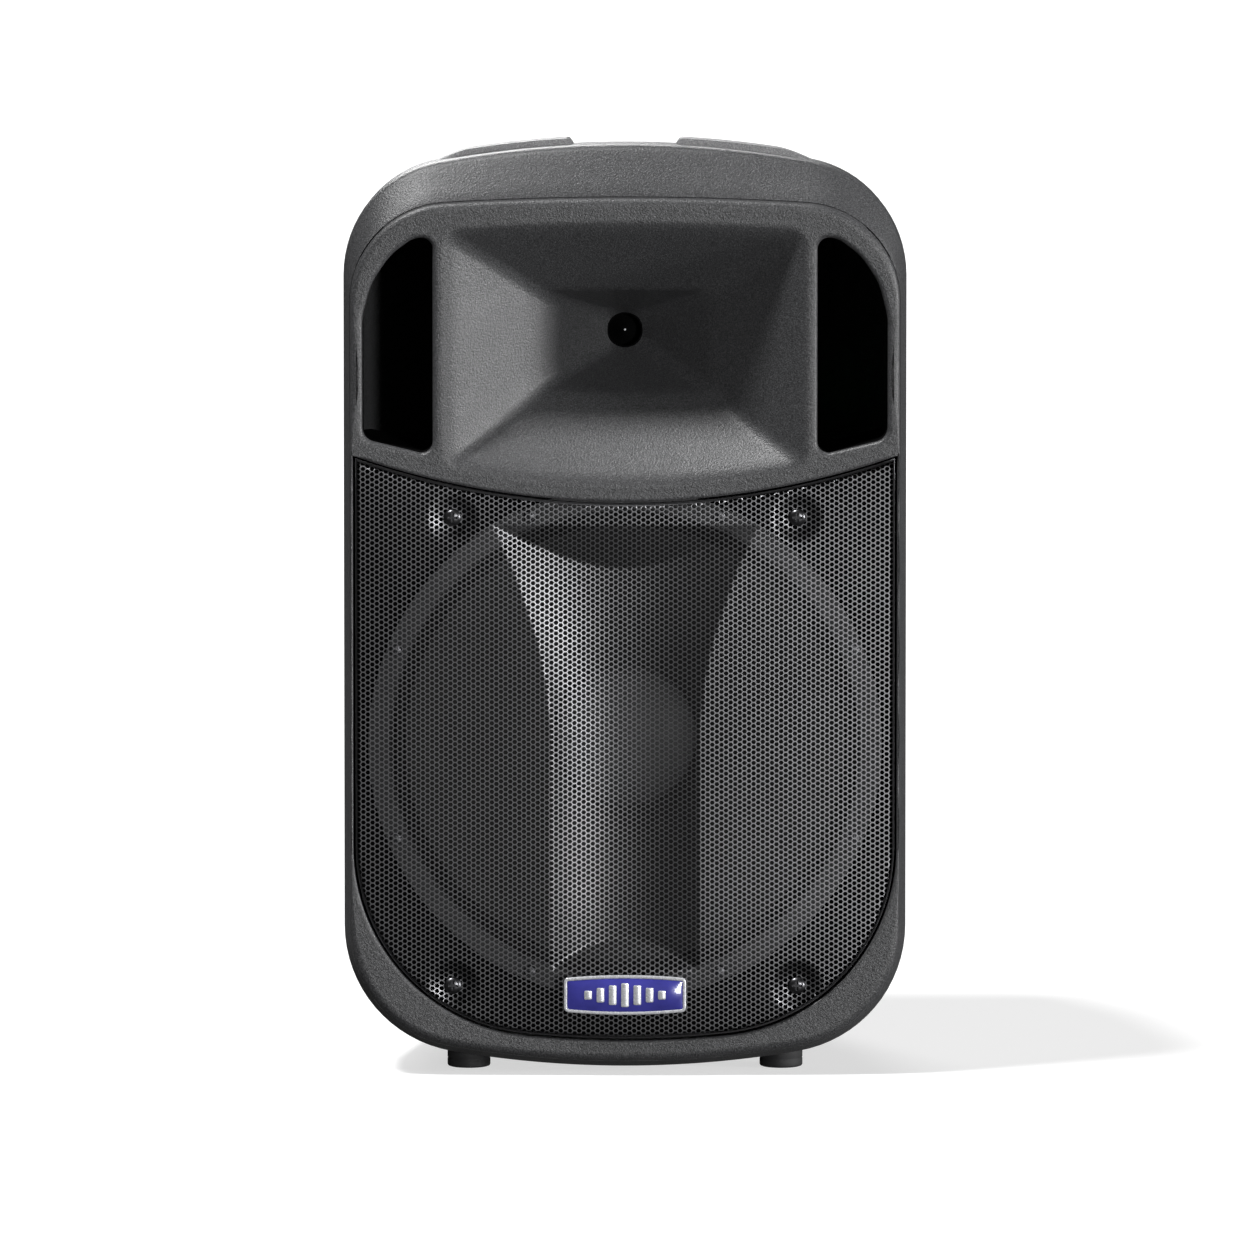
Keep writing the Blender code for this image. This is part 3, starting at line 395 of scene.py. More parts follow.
def sweep(bm, rings):
    """Skins a run of (outline, depth) rings by extruding the first; returns the first and last edge loops."""
    verts, edges = wire_ring(bm, *rings[0])
    first = edges
    for outline, y in rings[1:]:
        at = {vert.co.to_tuple(7): k for k, vert in enumerate(verts)}
        grown = bmesh.ops.extrude_edge_only(bm, edges=edges)["geom"]
        edges = [item for item in grown if isinstance(item, bmesh.types.BMEdge)]
        verts = [None] * len(outline)
        for vert in verts_of(grown):
            verts[at[vert.co.to_tuple(7)]] = vert
        for vert, (x, z), d in zip(verts, outline, each(y, outline)):
            vert.co = (x, d, z)
    return first, edges


def fill(bm, *loops):
    """A flat sheet between edge loops, with the inner loops left open."""
    edges = [edge for loop in loops for edge in loop]
    bmesh.ops.triangle_fill(bm, edges=edges, use_beauty=True, use_dissolve=False, normal=(0, -1, 0))


def capped(rings, bm=None):
    """A solid along a run of rings, closed at both ends."""
    bm = bm or bmesh.new()
    first, last = sweep(bm, rings)
    fill(bm, first)
    fill(bm, last)
    return bm


def rounding(inner, outer, steps=4):
    """Three control rings to a run of rings along a soft corner; each control ring is (outline, y)."""
    (a, ya), (b, yb), (c, yc) = inner, outer[0], outer[1]
    run = []
    for step in range(1, steps + 1):
        t = step / steps
        outline = [tuple(curve(Vector(p), Vector(q), Vector(r), t)) for p, q, r in zip(a, b, c)]
        run.append((outline, curve(ya, yb, yc, t)))
    return run


def spun(profile, centre=(0, 0, 0), axis="Y", sides=96, bm=None):
    """Turns (radius, height) points about an axis; a profile that starts off the axis is a closed ring."""
    bm = bm or bmesh.new()
    along = Vector((0, 1, 0)) if axis == "Y" else Vector((0, 0, 1))
    centre = Vector(centre)
    verts = [bm.verts.new(centre + along * height + Vector((radius, 0, 0))) for radius, height in profile]
    edges = [bm.edges.new(pair) for pair in zip(verts, verts[1:])]
    if profile[0][0] > 0:
        edges.append(bm.edges.new((verts[-1], verts[0])))
    bmesh.ops.spin(bm, geom=verts + edges, cent=centre, axis=along, angle=2 * pi, steps=sides, use_merge=True)
    bmesh.ops.remove_doubles(bm, verts=bm.verts, dist=1e-6)
    return bm


def block(lowest, highest, bm=None, bevel=0.0, segments=2):
    bm = bm or bmesh.new()
    size = Vector(highest) - Vector(lowest)
    place = Matrix.Translation((Vector(lowest) + Vector(highest)) / 2) @ Matrix.Diagonal((*size, 1))
    cube = bmesh.ops.create_cube(bm, size=1.0, matrix=place)
    if bevel:
        edges = list({edge for vert in cube["verts"] for edge in vert.link_edges})
        bmesh.ops.bevel(bm, geom=edges, affect="EDGES", offset=bevel, segments=segments, profile=0.5,
                        material=-1)
    return bm


def meshed(name, bm):
    mesh = bpy.data.meshes.new(name)
    bm.to_mesh(mesh)
    bm.free()
    return mesh


def linked(name, data):
    """A new object in the scene."""
    obj = bpy.data.objects.new(name, data)
    bpy.context.scene.collection.objects.link(obj)
    return obj


def piece(name, bm, material, stands_for=(), body="cabinet", sharp=35, recalc=True):
    """Finishes a mesh as a named piece that rides on a body."""
    if recalc:
        bmesh.ops.recalc_face_normals(bm, faces=bm.faces)
    mesh = meshed(name, bm)
    mesh.shade_smooth()
    mesh.set_sharp_from_angle(angle=radians(sharp))
    for each in material if isinstance(material, (list, tuple)) else [material]:
        mesh.materials.append(each)
    obj = linked(name, mesh)
    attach(obj, body)
    if stands_for:
        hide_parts(*stands_for)
    return obj


def nearest_gap(points, others):
    """How far each outline point is from the nearest point of the other outlines."""
    tree = kdtree.KDTree(len(others))
    for k, (x, z) in enumerate(others):
        tree.insert((x, 0, z), k)
    tree.balance()
    return [tree.find((x, 0, z))[2] for x, z in points]


# ---- Front shell ----
NECK = 0.050
THROAT_R = 0.0135
HORN_WALL = 0.004
FLANGE_THICK, FLANGE_REACH = 0.008, 0.026
# Each station: depth, half width, bottom, top, bottom arc, top arc, corner radius.
HORN_STATIONS = ((0.0, 0.1347, 0.4575, 0.6510, 0.626, 1.81, 0.010),
                 (NECK, 0.0660, 0.5200, 0.6000, 1.2, 2.0, 0.009),
                 (THROAT, THROAT_R, HORN_Z - THROAT_R, HORN_Z + THROAT_R, 0.01485, 0.01485, 0.0115))


def horn_outline(depth, grow=0.0):
    """The horn's inside at a depth: a wide flare and a steeper neck, blended where they meet."""
    def straight(d):
        near, far = HORN_STATIONS[:2] if d < NECK else HORN_STATIONS[1:]
        share = (d - near[0]) / (far[0] - near[0])
        return [a + (b - a) * share for a, b in zip(near[1:], far[1:])]
    blend = 0.0035
    if abs(depth - NECK) < blend:
        before, after = straight(NECK - blend), straight(NECK + blend)
        mid = straight(NECK)
        t = (depth - NECK + blend) / (2 * blend)
        sizes = [curve(a, b, c, t) for a, b, c in zip(before, mid, after)]
    else:
        sizes = straight(depth)
    half, bottom, top, low_arc, top_arc, corner = sizes
    return rounded_outline(half + grow, bottom - grow, top + grow, low_arc + grow, top_arc + grow,
                           corner + grow, corner + grow, 8, 12, 8)


def horn_rings():
    """From the flange behind the baffle, round the throat and out to the flat face."""
    flange = THROAT - FLANGE_THICK
    rings = [(horn_outline(depth, HORN_WALL), FACE + depth) for depth in (BAFFLE_BACK, NECK, flange)]
    rings += [(horn_outline(THROAT, FLANGE_REACH), FACE + depth) for depth in (flange, THROAT)]
    rings += [(horn_outline(THROAT, 0.0), FACE + THROAT)]
    for depth in (0.094, 0.086, 0.078, 0.070, 0.062, 0.056, 0.0535, 0.0520, 0.0510, 0.0505,
                  NECK, 0.0490, 0.0475, 0.0465, 0.035, 0.025, 0.015, 0.0075):
        rings.append((horn_outline(depth), FACE + depth))
    lip = offset(horn_outline(0.0), 0.0058)
    rings += rounding(rings[-1], [(horn_outline(0.0), FACE), (lip, FACE)], 6)
    rings.append((offset(horn_outline(0.0), 0.0062), FACE))
    return rings


def rim_rings(outline, deep, radius, flat=0.0004, steps=6):
    """An opening's wall, its rounded rim and a flat band round it."""
    rings = [(outline, FACE + deep), (outline, FACE + radius)]
    rings += rounding(rings[-1], [(outline, FACE), (offset(outline, radius), FACE)], steps)
    rings.append((offset(outline, radius + flat), FACE))
    return rings


def brow_rings(openings):
    """From the inner wall round the parting edge, up the brow, over the crease and the panel's soft lip."""
    outer, crease = cabinet_outline(), panel_outline()
    rings = [(cabinet_outline(0.0055), FACE + BAFFLE_BACK), (cabinet_outline(0.0055), PARTING),
             (cabinet_outline(0.0010), PARTING), (cabinet_outline(0.0003), PARTING - 0.0003),
             (outer, PARTING - 0.0010), (outer, FACE + 0.0320)]
    rings += rounding(rings[-1], [(outer, FACE + 0.0262), (mix(outer, crease, 0.13), FACE + 0.0234)], 7)
    for share in (0.3, 0.5, 0.7, 0.88):
        rings.append((mix(outer, crease, share), FACE + 0.0262 + (0.0050 - 0.0262) * share))
    wide = [float(smooth((hypot(a[0] - b[0], a[1] - b[1]) - 0.008) / 0.016)) for a, b in zip(outer, crease)]
    rings.append((mix(outer, crease, 0.985), [FACE + 0.0046 + 0.0014 * share for share in wide]))
    rings.append((crease, [FACE + 0.0046 + 0.0020 * share for share in wide]))
    room = nearest_gap(crease, openings)
    lip = [min(1.0, 0.42 * gap / 0.0070) for gap in room]
    count = len(lip)
    lip = [min(lip[(k + step) % count] for step in range(-2, 3)) for k in range(count)]
    lip = [sum(lip[(k + step) % count] for step in range(-2, 3)) / 5 for k in range(count)]
    soft = panel_outline(0.0070)
    rings.append((mix(crease, soft, [s * 0.04 for s in lip]),
                  [FACE + 0.0042 + 0.0018 * share for share in wide]))
    rings.append((mix(crease, soft, [s * 0.08 for s in lip]), FACE + 0.0036))
    turned = [(mix(crease, soft, [s * 0.35 for s in lip]), FACE), (mix(crease, soft, lip), FACE)]
    rings += rounding(rings[-1], turned, 6)
    rings.append((mix(crease, panel_outline(0.0076), lip), FACE))
    return rings


def in_painted_shade(face):
    """Whether a face is on the floor of the grille recess or on a wall of a port; such faces get the
    near-black painted shade.
    """
    spot = face.calc_center_median()
    in_recess = face.normal.y < -0.9 and abs(spot.y - FACE - BAFFLE) < 0.0004
    in_depth = FACE + 0.0045 < spot.y < FACE + BAFFLE_BACK
    beside_horn = 0.140 < abs(spot.x) < 0.2008 and 0.470 < spot.z < 0.650
    return in_recess or (in_depth and beside_horn and abs(face.normal.y) < 0.5)


def make_front_shell():
    bm = bmesh.new()
    recess = grille_outline()
    ports = [port_outline(1), port_outline(-1)]
    back_edge, face_edge = sweep(bm, brow_rings(recess + ports[0] + ports[1]))
    horn_back, horn_face = sweep(bm, horn_rings())
    port_loops = [sweep(bm, rim_rings(outline, BAFFLE_BACK, 0.0042)) for outline in ports]
    hole = circle(0.1845, WOOFER_Z)
    hole_back, hole_front = sweep(bm, [(hole, FACE + BAFFLE_BACK), (hole, FACE + BAFFLE)])
    gaps = nearest_gap(recess, panel_outline())
    soft = offset(recess, 0.0024)
    share = [min(1.0, 0.36 * gap / 0.0024) for gap in gaps]
    rings = [(recess, FACE + BAFFLE), (recess, FACE + 0.0026), (recess, FACE + 0.0018)]
    rings += rounding(rings[-1], [(recess, FACE), (mix(recess, soft, share), FACE)], 5)
    rings.append((mix(recess, offset(recess, 0.0030), share), FACE))
    floor_edge, recess_face = sweep(bm, rings)
    fill(bm, face_edge, horn_face, recess_face, *[front for _, front in port_loops])
    fill(bm, hole_front, floor_edge)
    fill(bm, back_edge, horn_back, hole_back, *[back for back, _ in port_loops])
    bmesh.ops.recalc_face_normals(bm, faces=bm.faces)
    for face in bm.faces:
        face.material_index = 1 if in_painted_shade(face) else 0
    # The recess floor and port walls get the near-black painted shade.
    piece("front_moulding", bm, [SHELL, SHADE_BLACK], ("front_shell",), sharp=50, recalc=False)


# ---- Perforated grille ----
PITCH = 0.00405
COLUMN = PITCH * sqrt(3) / 2
WEB = 0.00040
SHEET = 0.0012
EDGE_GAP = 0.0018
HOLE_MARGIN = 0.0009
MARGIN_BACK = 0.0122
MARGIN_WIDTH = 0.0013
FOLD = 0.0036
CHANNEL = ((0.101, 0.424), (0.083, 0.385), (0.066, 0.334), (0.059, 0.297), (0.056, 0.265), (0.056, 0.082))
SCREWS = [middle(f"grille_screw_{k}") for k in (1, 2, 3, 4)]
SCREW_SEAT = 0.0012
DIMPLE_REACH, DIMPLE_SLOPE = 0.0205, 0.0130


def smooth(value):
    value = np.clip(value, 0.0, 1.0)
    return value * value * (3 - 2 * value)


def channel_half(z):
    heights = [b for _, b in CHANNEL][::-1]
    return np.interp(z, heights, [a for a, _ in CHANNEL][::-1])


def grille_depth(x, z, edge):
    """How far the sheet stands behind the face plane; edge is the distance to the rim. Takes numpy arrays."""
    centre = SMILE_Z + SMILE_ARC
    to_top = centre - np.sqrt(np.maximum(SMILE_ARC ** 2 - x ** 2, 0.0)) - z
    to_bottom = z - RECESS_BOTTOM
    across = 1 - (np.abs(x) / RECESS_HALF) ** 1.45
    upright = np.sin(pi / 2 * np.clip(np.minimum(to_top, to_bottom) / 0.115, 0, 1)) ** 0.7
    bulge = np.maximum(across, 0) * (0.25 + 0.75 * upright)
    depth = 0.0020 + (CROWN - 0.0036) * bulge
    half = channel_half(z)
    hollow = 0.0115 * (1 - (x / half) ** 2)
    top_wall = (0.424 - z) * 0.34
    bottom_wall = (z - 0.082) * 0.50
    sunk = np.minimum(np.minimum(hollow, top_wall), bottom_wall)
    depth = depth + np.maximum(sunk, 0.0)
    for screw in SCREWS:
        away = np.hypot(x - screw.x, z - screw.z)
        depth = depth + (SCREW_SEAT - depth) * smooth((DIMPLE_REACH - away) / DIMPLE_SLOPE)
    return depth + FOLD * smooth(1 - edge / FOLD) ** 1.5


def edge_distance(points, outline):
    """Distance of (n, 2) points to the outline, and the nearest place on it."""
    a = np.array(outline)
    b = np.roll(a, -1, axis=0)
    along = b - a
    best = np.full(len(points), 1e9)
    place = np.zeros_like(points)
    for start, run in zip(a, along):
        share = np.clip(((points - start) @ run) / (run @ run), 0, 1)
        near = start + share[:, None] * run
        gap = np.hypot(*(points - near).T)
        closer = gap < best
        best[closer] = gap[closer]
        place[closer] = near[closer]
    return best, place


def inside(points, outline):
    """Whether each (n, 2) point is inside the outline."""
    odd = np.zeros(len(points), bool)
    a = np.array(outline)
    b = np.roll(a, -1, axis=0)
    for (x0, z0), (x1, z1) in zip(a, b):
        crosses = (z0 > points[:, 1]) != (z1 > points[:, 1])
        if z1 != z0:
            odd ^= crosses & (points[:, 0] < (x1 - x0) * (points[:, 1] - z0) / (z1 - z0) + x0)
    return odd


def repeat(bm, steps, shift):
    """Copies everything in the mesh a number of times, each copy moved by the same shift."""
    bmesh.ops.spin(bm, geom=bm.verts[:] + bm.edges[:] + bm.faces[:], angle=0, steps=steps, dvec=shift,
                   axis=(0, 0, 1), cent=(0, 0, 0), use_duplicate=True)


def hole_field(left, right):
    """A honeycomb of cells between two x limits, taller than the opening."""
    bm = bmesh.new()
    turn = Matrix.Rotation(radians(90), 4, "X") @ Matrix.Rotation(radians(30), 4, "Z")
    bmesh.ops.create_circle(bm, cap_ends=True, segments=6, radius=PITCH / sqrt(3), matrix=turn)
    first = round(left / COLUMN)
    last = round(right / COLUMN)
    rows = int((0.48 - RECESS_BOTTOM) / PITCH) + 4
    half_step = PITCH / 2 if first % 2 else 0.0
    bmesh.ops.translate(bm, verts=bm.verts, vec=(first * COLUMN, 0, RECESS_BOTTOM - PITCH + half_step))
    repeat(bm, rows, (0, 0, PITCH))
    strip = bm.verts[:] + bm.edges[:] + bm.faces[:]
    step = -PITCH / 2 if first % 2 else PITCH / 2
    twin = bmesh.ops.duplicate(bm, geom=strip)["geom"]
    bmesh.ops.translate(bm, verts=verts_of(twin), vec=(COLUMN, 0, step))
    repeat(bm, (last - first) // 2 - 1, (2 * COLUMN, 0, 0))
    bmesh.ops.remove_doubles(bm, verts=bm.verts, dist=PITCH * 0.05)
    return bm


# The sheet is three pieces side by side, each between two columns of holes.
GRILLE_SPLITS = (("grille_left_field", -60, -18), ("grille_channel_field", -18, 18),
                 ("grille_right_field", 18, 60))


def make_perforated_fields():
    outline = grille_outline(EDGE_GAP)
    trim = grille_outline(EDGE_GAP + HOLE_MARGIN)
    for name, first, last in GRILLE_SPLITS:
        bm = hole_field((first + 0.5) * COLUMN, (last - 0.5) * COLUMN)
        centres = np.array([face.calc_center_median().xz for face in bm.faces])
        gap, _ = edge_distance(centres, outline)
        kept = inside(centres, outline) & (gap > PITCH * 0.36)
        bmesh.ops.delete(bm, geom=[face for face, stays in zip(bm.faces, kept) if not stays], context="FACES")
        place = np.array([vert.co.xz for vert in bm.verts])
        gap, nearest = edge_distance(place, trim)
        outside = ~inside(place, trim)
        for vert, moves, spot in zip(bm.verts, outside, nearest):
            if moves:
                vert.co.x, vert.co.z = spot
        inset = bmesh.ops.inset_individual(bm, faces=bm.faces[:], thickness=WEB, use_even_offset=True)
        webs = set(inset["faces"])
        bmesh.ops.delete(bm, geom=[face for face in bm.faces if face not in webs], context="FACES_ONLY")
        place = np.array([vert.co.xz for vert in bm.verts])
        edge, _ = edge_distance(place, outline)
        for vert, depth in zip(bm.verts, grille_depth(place[:, 0], place[:, 1], edge)):
            vert.co.y = FACE + depth
        bmesh.ops.solidify(bm, geom=bm.faces[:], thickness=SHEET)
        piece(name, bm, MESH, ("grille",), sharp=40)


def margin_depths(outline, inset):
    place = np.array(outline)
    return FACE + grille_depth(place[:, 0], place[:, 1], np.full(len(outline), inset))


def make_folded_margin():
    """One band all round the sheet: it starts at the outermost holes and turns in to the recess."""
    bm = bmesh.new()
    rings = []
    for inset in (0.0014, 0.0007, 0.0002, 0.0):
        ring = grille_outline(EDGE_GAP + inset)
        rings.append((ring, list(margin_depths(ring, inset))))
    back = grille_outline(EDGE_GAP)
    inner = grille_outline(EDGE_GAP + MARGIN_WIDTH)
    rings += [(back, FACE + MARGIN_BACK), (inner, FACE + MARGIN_BACK)]
    rings.append((inner, list(margin_depths(inner, MARGIN_WIDTH) + SHEET)))
    first, last = sweep(bm, rings)
    bmesh.ops.bridge_loops(bm, edges=first + last)
    piece("grille_folded_margin", bm, MESH, ("grille",), sharp=50)


# ---- Rear shell ----
# Each station: y, half width, bottom, top, bottom corner radius, top corner radius.
STATIONS = ((PARTING + 0.0021, 0.2150, 0.004, 0.7125, 0.099, 0.088),
            (-0.100, 0.2140, 0.004, 0.7105, 0.098, 0.087),
            (0.060, 0.1820, 0.004, 0.6870, 0.088, 0.078), (0.186, 0.1240, 0.012, 0.6640, 0.066, 0.056),
            (BACK, 0.1150, 0.021, 0.6550, 0.057, 0.047))


def station(y, inset=0.0):
    depths = [row[0] for row in STATIONS]
    sizes = [float(np.interp(y, depths, [row[k] for row in STATIONS])) for k in range(1, 6)]
    return cabinet_outline(inset, *sizes)


PANEL_HALF, PANEL_BOTTOM, PANEL_TOP = 0.0944, 0.1396, 0.5604


def panel_recess(grow=0.0):
    half = PANEL_HALF + grow
    return soft_box(-half, half, PANEL_BOTTOM - grow, PANEL_TOP + grow, 0.004 + grow, 0.004 + grow, 6)


PANEL_OUT = high("amp_panel").y


def make_rear_shell():
    bm = bmesh.new()
    start = STATIONS[0][0]
    rings = [(station(0.170, 0.0050), 0.170), (station(start, 0.0050), start),
             (station(start, 0.0012), start), (station(start, 0.0002), start + 0.0005),
             (station(start + 0.0012), start + 0.0012)]
    for near, far, steps in ((start, -0.100, 8), (-0.100, 0.060, 12), (0.060, 0.178, 9)):
        for k in range(1, steps + 1):
            y = near + (far - near) * k / steps
            rings.append((station(y), y))
    lip = station(BACK, 0.0030)
    rings += rounding(rings[-1], [(station(0.1895), 0.1905), (lip, BACK)], 7)
    rings.append((station(BACK, 0.0040), BACK))
    inner_edge, back_edge = sweep(bm, rings)
    rim = [(panel_recess(), 0.170), (panel_recess(), BACK - 0.0020)]
    rim += rounding(rim[-1], [(panel_recess(), BACK), (panel_recess(0.0020), BACK)], 4)
    rim.append((panel_recess(0.0024), BACK))
    hole_edge, rim_edge = sweep(bm, rim)
    fill(bm, back_edge, rim_edge)
    fill(bm, inner_edge, hole_edge)
    piece("rear_moulding", bm, SHELL, ("rear_shell",), sharp=50)


# ---- Woofer ----
def disc_points(*pairs):
    """(radius, depth behind the face) pairs as a profile about the woofer's axis."""
    return [(radius, FACE + depth) for radius, depth in pairs]


WOOFER = (0, 0, WOOFER_Z)


def make_woofer():
    cone = disc_points((0.0398, 0.0830), (0.080, 0.0605), (0.130, 0.0350), (0.1660, 0.0186), (0.1675, 0.0182),
                       (0.1678, 0.0195), (0.1660, 0.0202), (0.130, 0.0368), (0.080, 0.0624), (0.0398, 0.0848))
    rows = []
    for (r0, y0), (r1, y1) in zip(cone, cone[1:] + cone[:1]):
        steps = max(1, round(hypot(r1 - r0, y1 - y0) / 0.005))
        rows += [(r0 + (r1 - r0) * k / steps, y0 + (y1 - y0) * k / steps) for k in range(steps)]
    piece("pulp_cone_body", spun(rows, WOOFER, sides=128), PAPER, ("woofer_cone",),
          "woofer_cone_assembly")
    top = 0.0560
    dome = [(0.0546 * sin(radians(90) * k / 14), FACE + 0.0720 - (0.0720 - top) * cos(radians(90) * k / 14))
            for k in range(15)]
    rise = 0.0730 - top - 0.0010
    under = [(0.0536 * sin(radians(90) * k / 14), FACE + 0.0738 - rise * cos(radians(90) * k / 14))
             for k in range(14, -1, -1)]
    piece("dust_cap_dome", spun(dome + under, WOOFER, sides=96), CAP, ("woofer_dust_cap",),
          "woofer_cone_assembly")
    pleats = []
    for k in range(61):
        radius = 0.1682 + (0.1812 - 0.1682) * k / 60
        pleats.append((radius, FACE + 0.0156 - 0.0011 * sin(2 * pi * 2.5 * k / 60)))
    pleats += [(radius, y + 0.0005) for radius, y in pleats[::-1]]
    piece("pleated_surround", spun(pleats, WOOFER, sides=128), CLOTH, ("woofer_surround",))
    ring = disc_points((0.1815, 0.0160), (0.1815, 0.0129), (0.1818, 0.0126), (0.1961, 0.0126),
                       (0.1965, 0.0130), (0.1965, 0.0160))
    piece("basket_flange_ring", spun(ring, WOOFER, sides=160), CAST)
    bead = disc_points((0.1786, 0.0160), (0.1786, 0.0136), (0.1792, 0.0131), (0.1806, 0.0131),
                       (0.1811, 0.0136), (0.1811, 0.0160))
    piece("cone_gasket_bead", spun(bead, WOOFER, sides=160), RUBBER, ("woofer_gasket",))


# ---- Badge ----
BADGE_LOW, BADGE_HIGH = low("badge_plate"), high("badge_plate")


def badge_outline(inset):
    return rounded_outline(BADGE_HIGH.x - inset, BADGE_LOW.z + inset, BADGE_HIGH.z - inset, 0.46, 0.46,
                           0.0036 - min(inset, 0.0026), 0.0036 - min(inset, 0.0026), 8, 16, 6)


def make_badge():
    """A silver frame round a blue field with a row of level bars, which stands for no maker."""
    front, rear = BADGE_LOW.y, BADGE_HIGH.y
    rings = [(badge_outline(0.0), rear), (badge_outline(0.0), front + 0.0009)]
    rings += rounding(rings[-1], [(badge_outline(0.0), front), (badge_outline(0.0008), front)], 4)
    rings.append((badge_outline(0.0019), front))
    rings += rounding(rings[-1], [(badge_outline(0.0024), front), (badge_outline(0.0025), front + 0.0007)], 4)
    piece("badge_frame", capped(rings), SILVER, ("badge_plate",), sharp=45)
    field = [(badge_outline(0.00255), front + 0.0007), (badge_outline(0.00255), front + 0.0004),
             (badge_outline(0.0029), front + 0.0002)]
    piece("badge_field", capped(field), ENAMEL, sharp=45)
    bm = bmesh.new()
    height = middle("badge_plate").z
    for k, half in enumerate((0.0034, 0.0056, 0.0076, 0.0092, 0.0076, 0.0056, 0.0034)):
        x = (k - 3) * 0.0094
        bar = soft_box(x - 0.0029, x + 0.0029, height - half, height + half, 0.0010, 0.0010, 4)
        edge = (offset(bar, -0.0003), front - 0.0003)
        capped([(bar, front + 0.0003), (bar, front - 0.0001), edge], bm)
    piece("badge_bars", bm, SILVER, sharp=45)


# ---- Studio ----
AMBIENT = 0.06
SUNS = (("top_light", (-1.05, -0.50, 2.6), 3.9, 9), ("right_light", (2.80, -0.74, 0.26), 2.7, 10),
        ("front_light", (1.12, -2.66, 0.08), 2.1, 10), ("back_light", (-0.5, 2.6, 1.5), 1.7, 24))


def make_studio():
    world = bpy.data.worlds.new("studio")
    bpy.context.scene.world = world
    world.use_nodes = True
    put(world.node_tree.nodes["Background"], {"Color": (1.0, 1.0, 1.0, 1.0), "Strength": AMBIENT})
    paper = bpy.data.materials.new("white_paper")
    paper.use_nodes = True
    put(paper.node_tree.nodes["Principled BSDF"], {
        "Base Color": (0.45, 0.45, 0.45, 1.0), "Roughness": 0.95, "Specular IOR Level": 0.1,
        "Emission Color": (1.0, 1.0, 1.0, 1.0), "Emission Strength": 0.62})
    bm = bmesh.new()
    bmesh.ops.create_grid(bm, x_segments=2, y_segments=2, size=60.0)
    floor = linked("paper_floor", meshed("paper_floor", bm))
    floor.data.materials.append(paper)
    floor.visible_diffuse = False
    floor.visible_glossy = False
    target = Vector((0.0, FACE, 0.347))
    for name, place, power, spread in SUNS:
        sun = bpy.data.lights.new(name, "SUN")
        sun.energy = power
        sun.angle = radians(spread)
        light = linked(name, sun)
        light.location = place
        light.rotation_euler = (-Vector(place)).to_track_quat("-Z", "Y").to_euler()
    lens = bpy.data.cameras.new("front_view")
    lens.sensor_width = 36.0
    lens.lens = 452.8
    lens.clip_end = 100.0
    camera = linked("front_view", lens)
    camera.location = target + 12.0 * Vector((0.0, -cos(radians(6.0)), sin(radians(6.0))))
    camera.rotation_euler = (target - camera.location).to_track_quat("-Z", "Y").to_euler()
    bpy.context.scene.camera = camera
    bpy.context.scene.view_settings.view_transform = "Standard"


# ---- Cutting, and small shared shapes ----
def cut(obj, *cutters):
    """Takes closed cutter shapes out of a piece, one after another."""
    for bm in cutters:
        bmesh.ops.recalc_face_normals(bm, faces=bm.faces)
        mesh = meshed("cutter", bm)
        tool = linked("cutter", mesh)
        step = obj.modifiers.new("cut", "BOOLEAN")
        step.operation = "DIFFERENCE"
        step.solver = "EXACT"
        step.object = tool
        solid = bpy.data.meshes.new_from_object(obj.evaluated_get(bpy.context.evaluated_depsgraph_get()))
        obj.modifiers.clear()
        old = obj.data
        solid.name = old.name
        obj.data = solid
        bpy.data.meshes.remove(old)
        bpy.data.objects.remove(tool)
        bpy.data.meshes.remove(mesh)
        obj.data.shade_smooth()
        obj.data.set_sharp_from_angle(angle=radians(38))
    return obj


def cross_cutter(centre, reach, depth, axis_sign=-1):
    """A cross recess: two narrow blades that meet in the middle; the screw faces along axis_sign Y."""
    x, y, z = centre
    blades = []
    for wide, tall in ((reach, reach * 0.26), (reach * 0.26, reach)):
        near, far = y - axis_sign * depth, y + axis_sign * 0.002
        blades.append(block((x - wide, min(near, far), z - tall), (x + wide, max(near, far), z + tall)))
    return blades


def pan_screw(name, centre, radius, height, facing, stands_for=()):
    """A pan-head cross-recess screw whose seat is at centre, facing along -Y or +Y."""
    x, y, z = centre
    profile = [(0.0, height), (radius * 0.30, height * 0.985), (radius * 0.55, height * 0.93),
               (radius * 0.76, height * 0.80), (radius * 0.90, height * 0.60), (radius * 0.98, height * 0.34),
               (radius, height * 0.12), (radius, 0.0), (radius * 0.6, -0.0004), (0.0, -0.0004)]
    profile = [(r, facing * h) for r, h in profile]
    head = piece(name, spun(profile, centre, sides=40), SCREW, stands_for, sharp=60)
    return cut(head, *cross_cutter((x, y + facing * height, z), radius * 0.56, height * 0.62, facing))


# ---- Roof: raised pads, carrying handle ----
def roof(x, y):
    """Height of the rear shell's roof."""
    depths = [row[0] for row in STATIONS]
    top = np.interp(y, depths, [row[3] for row in STATIONS])
    return top - (EDGE_ARC - np.sqrt(EDGE_ARC ** 2 - x ** 2))


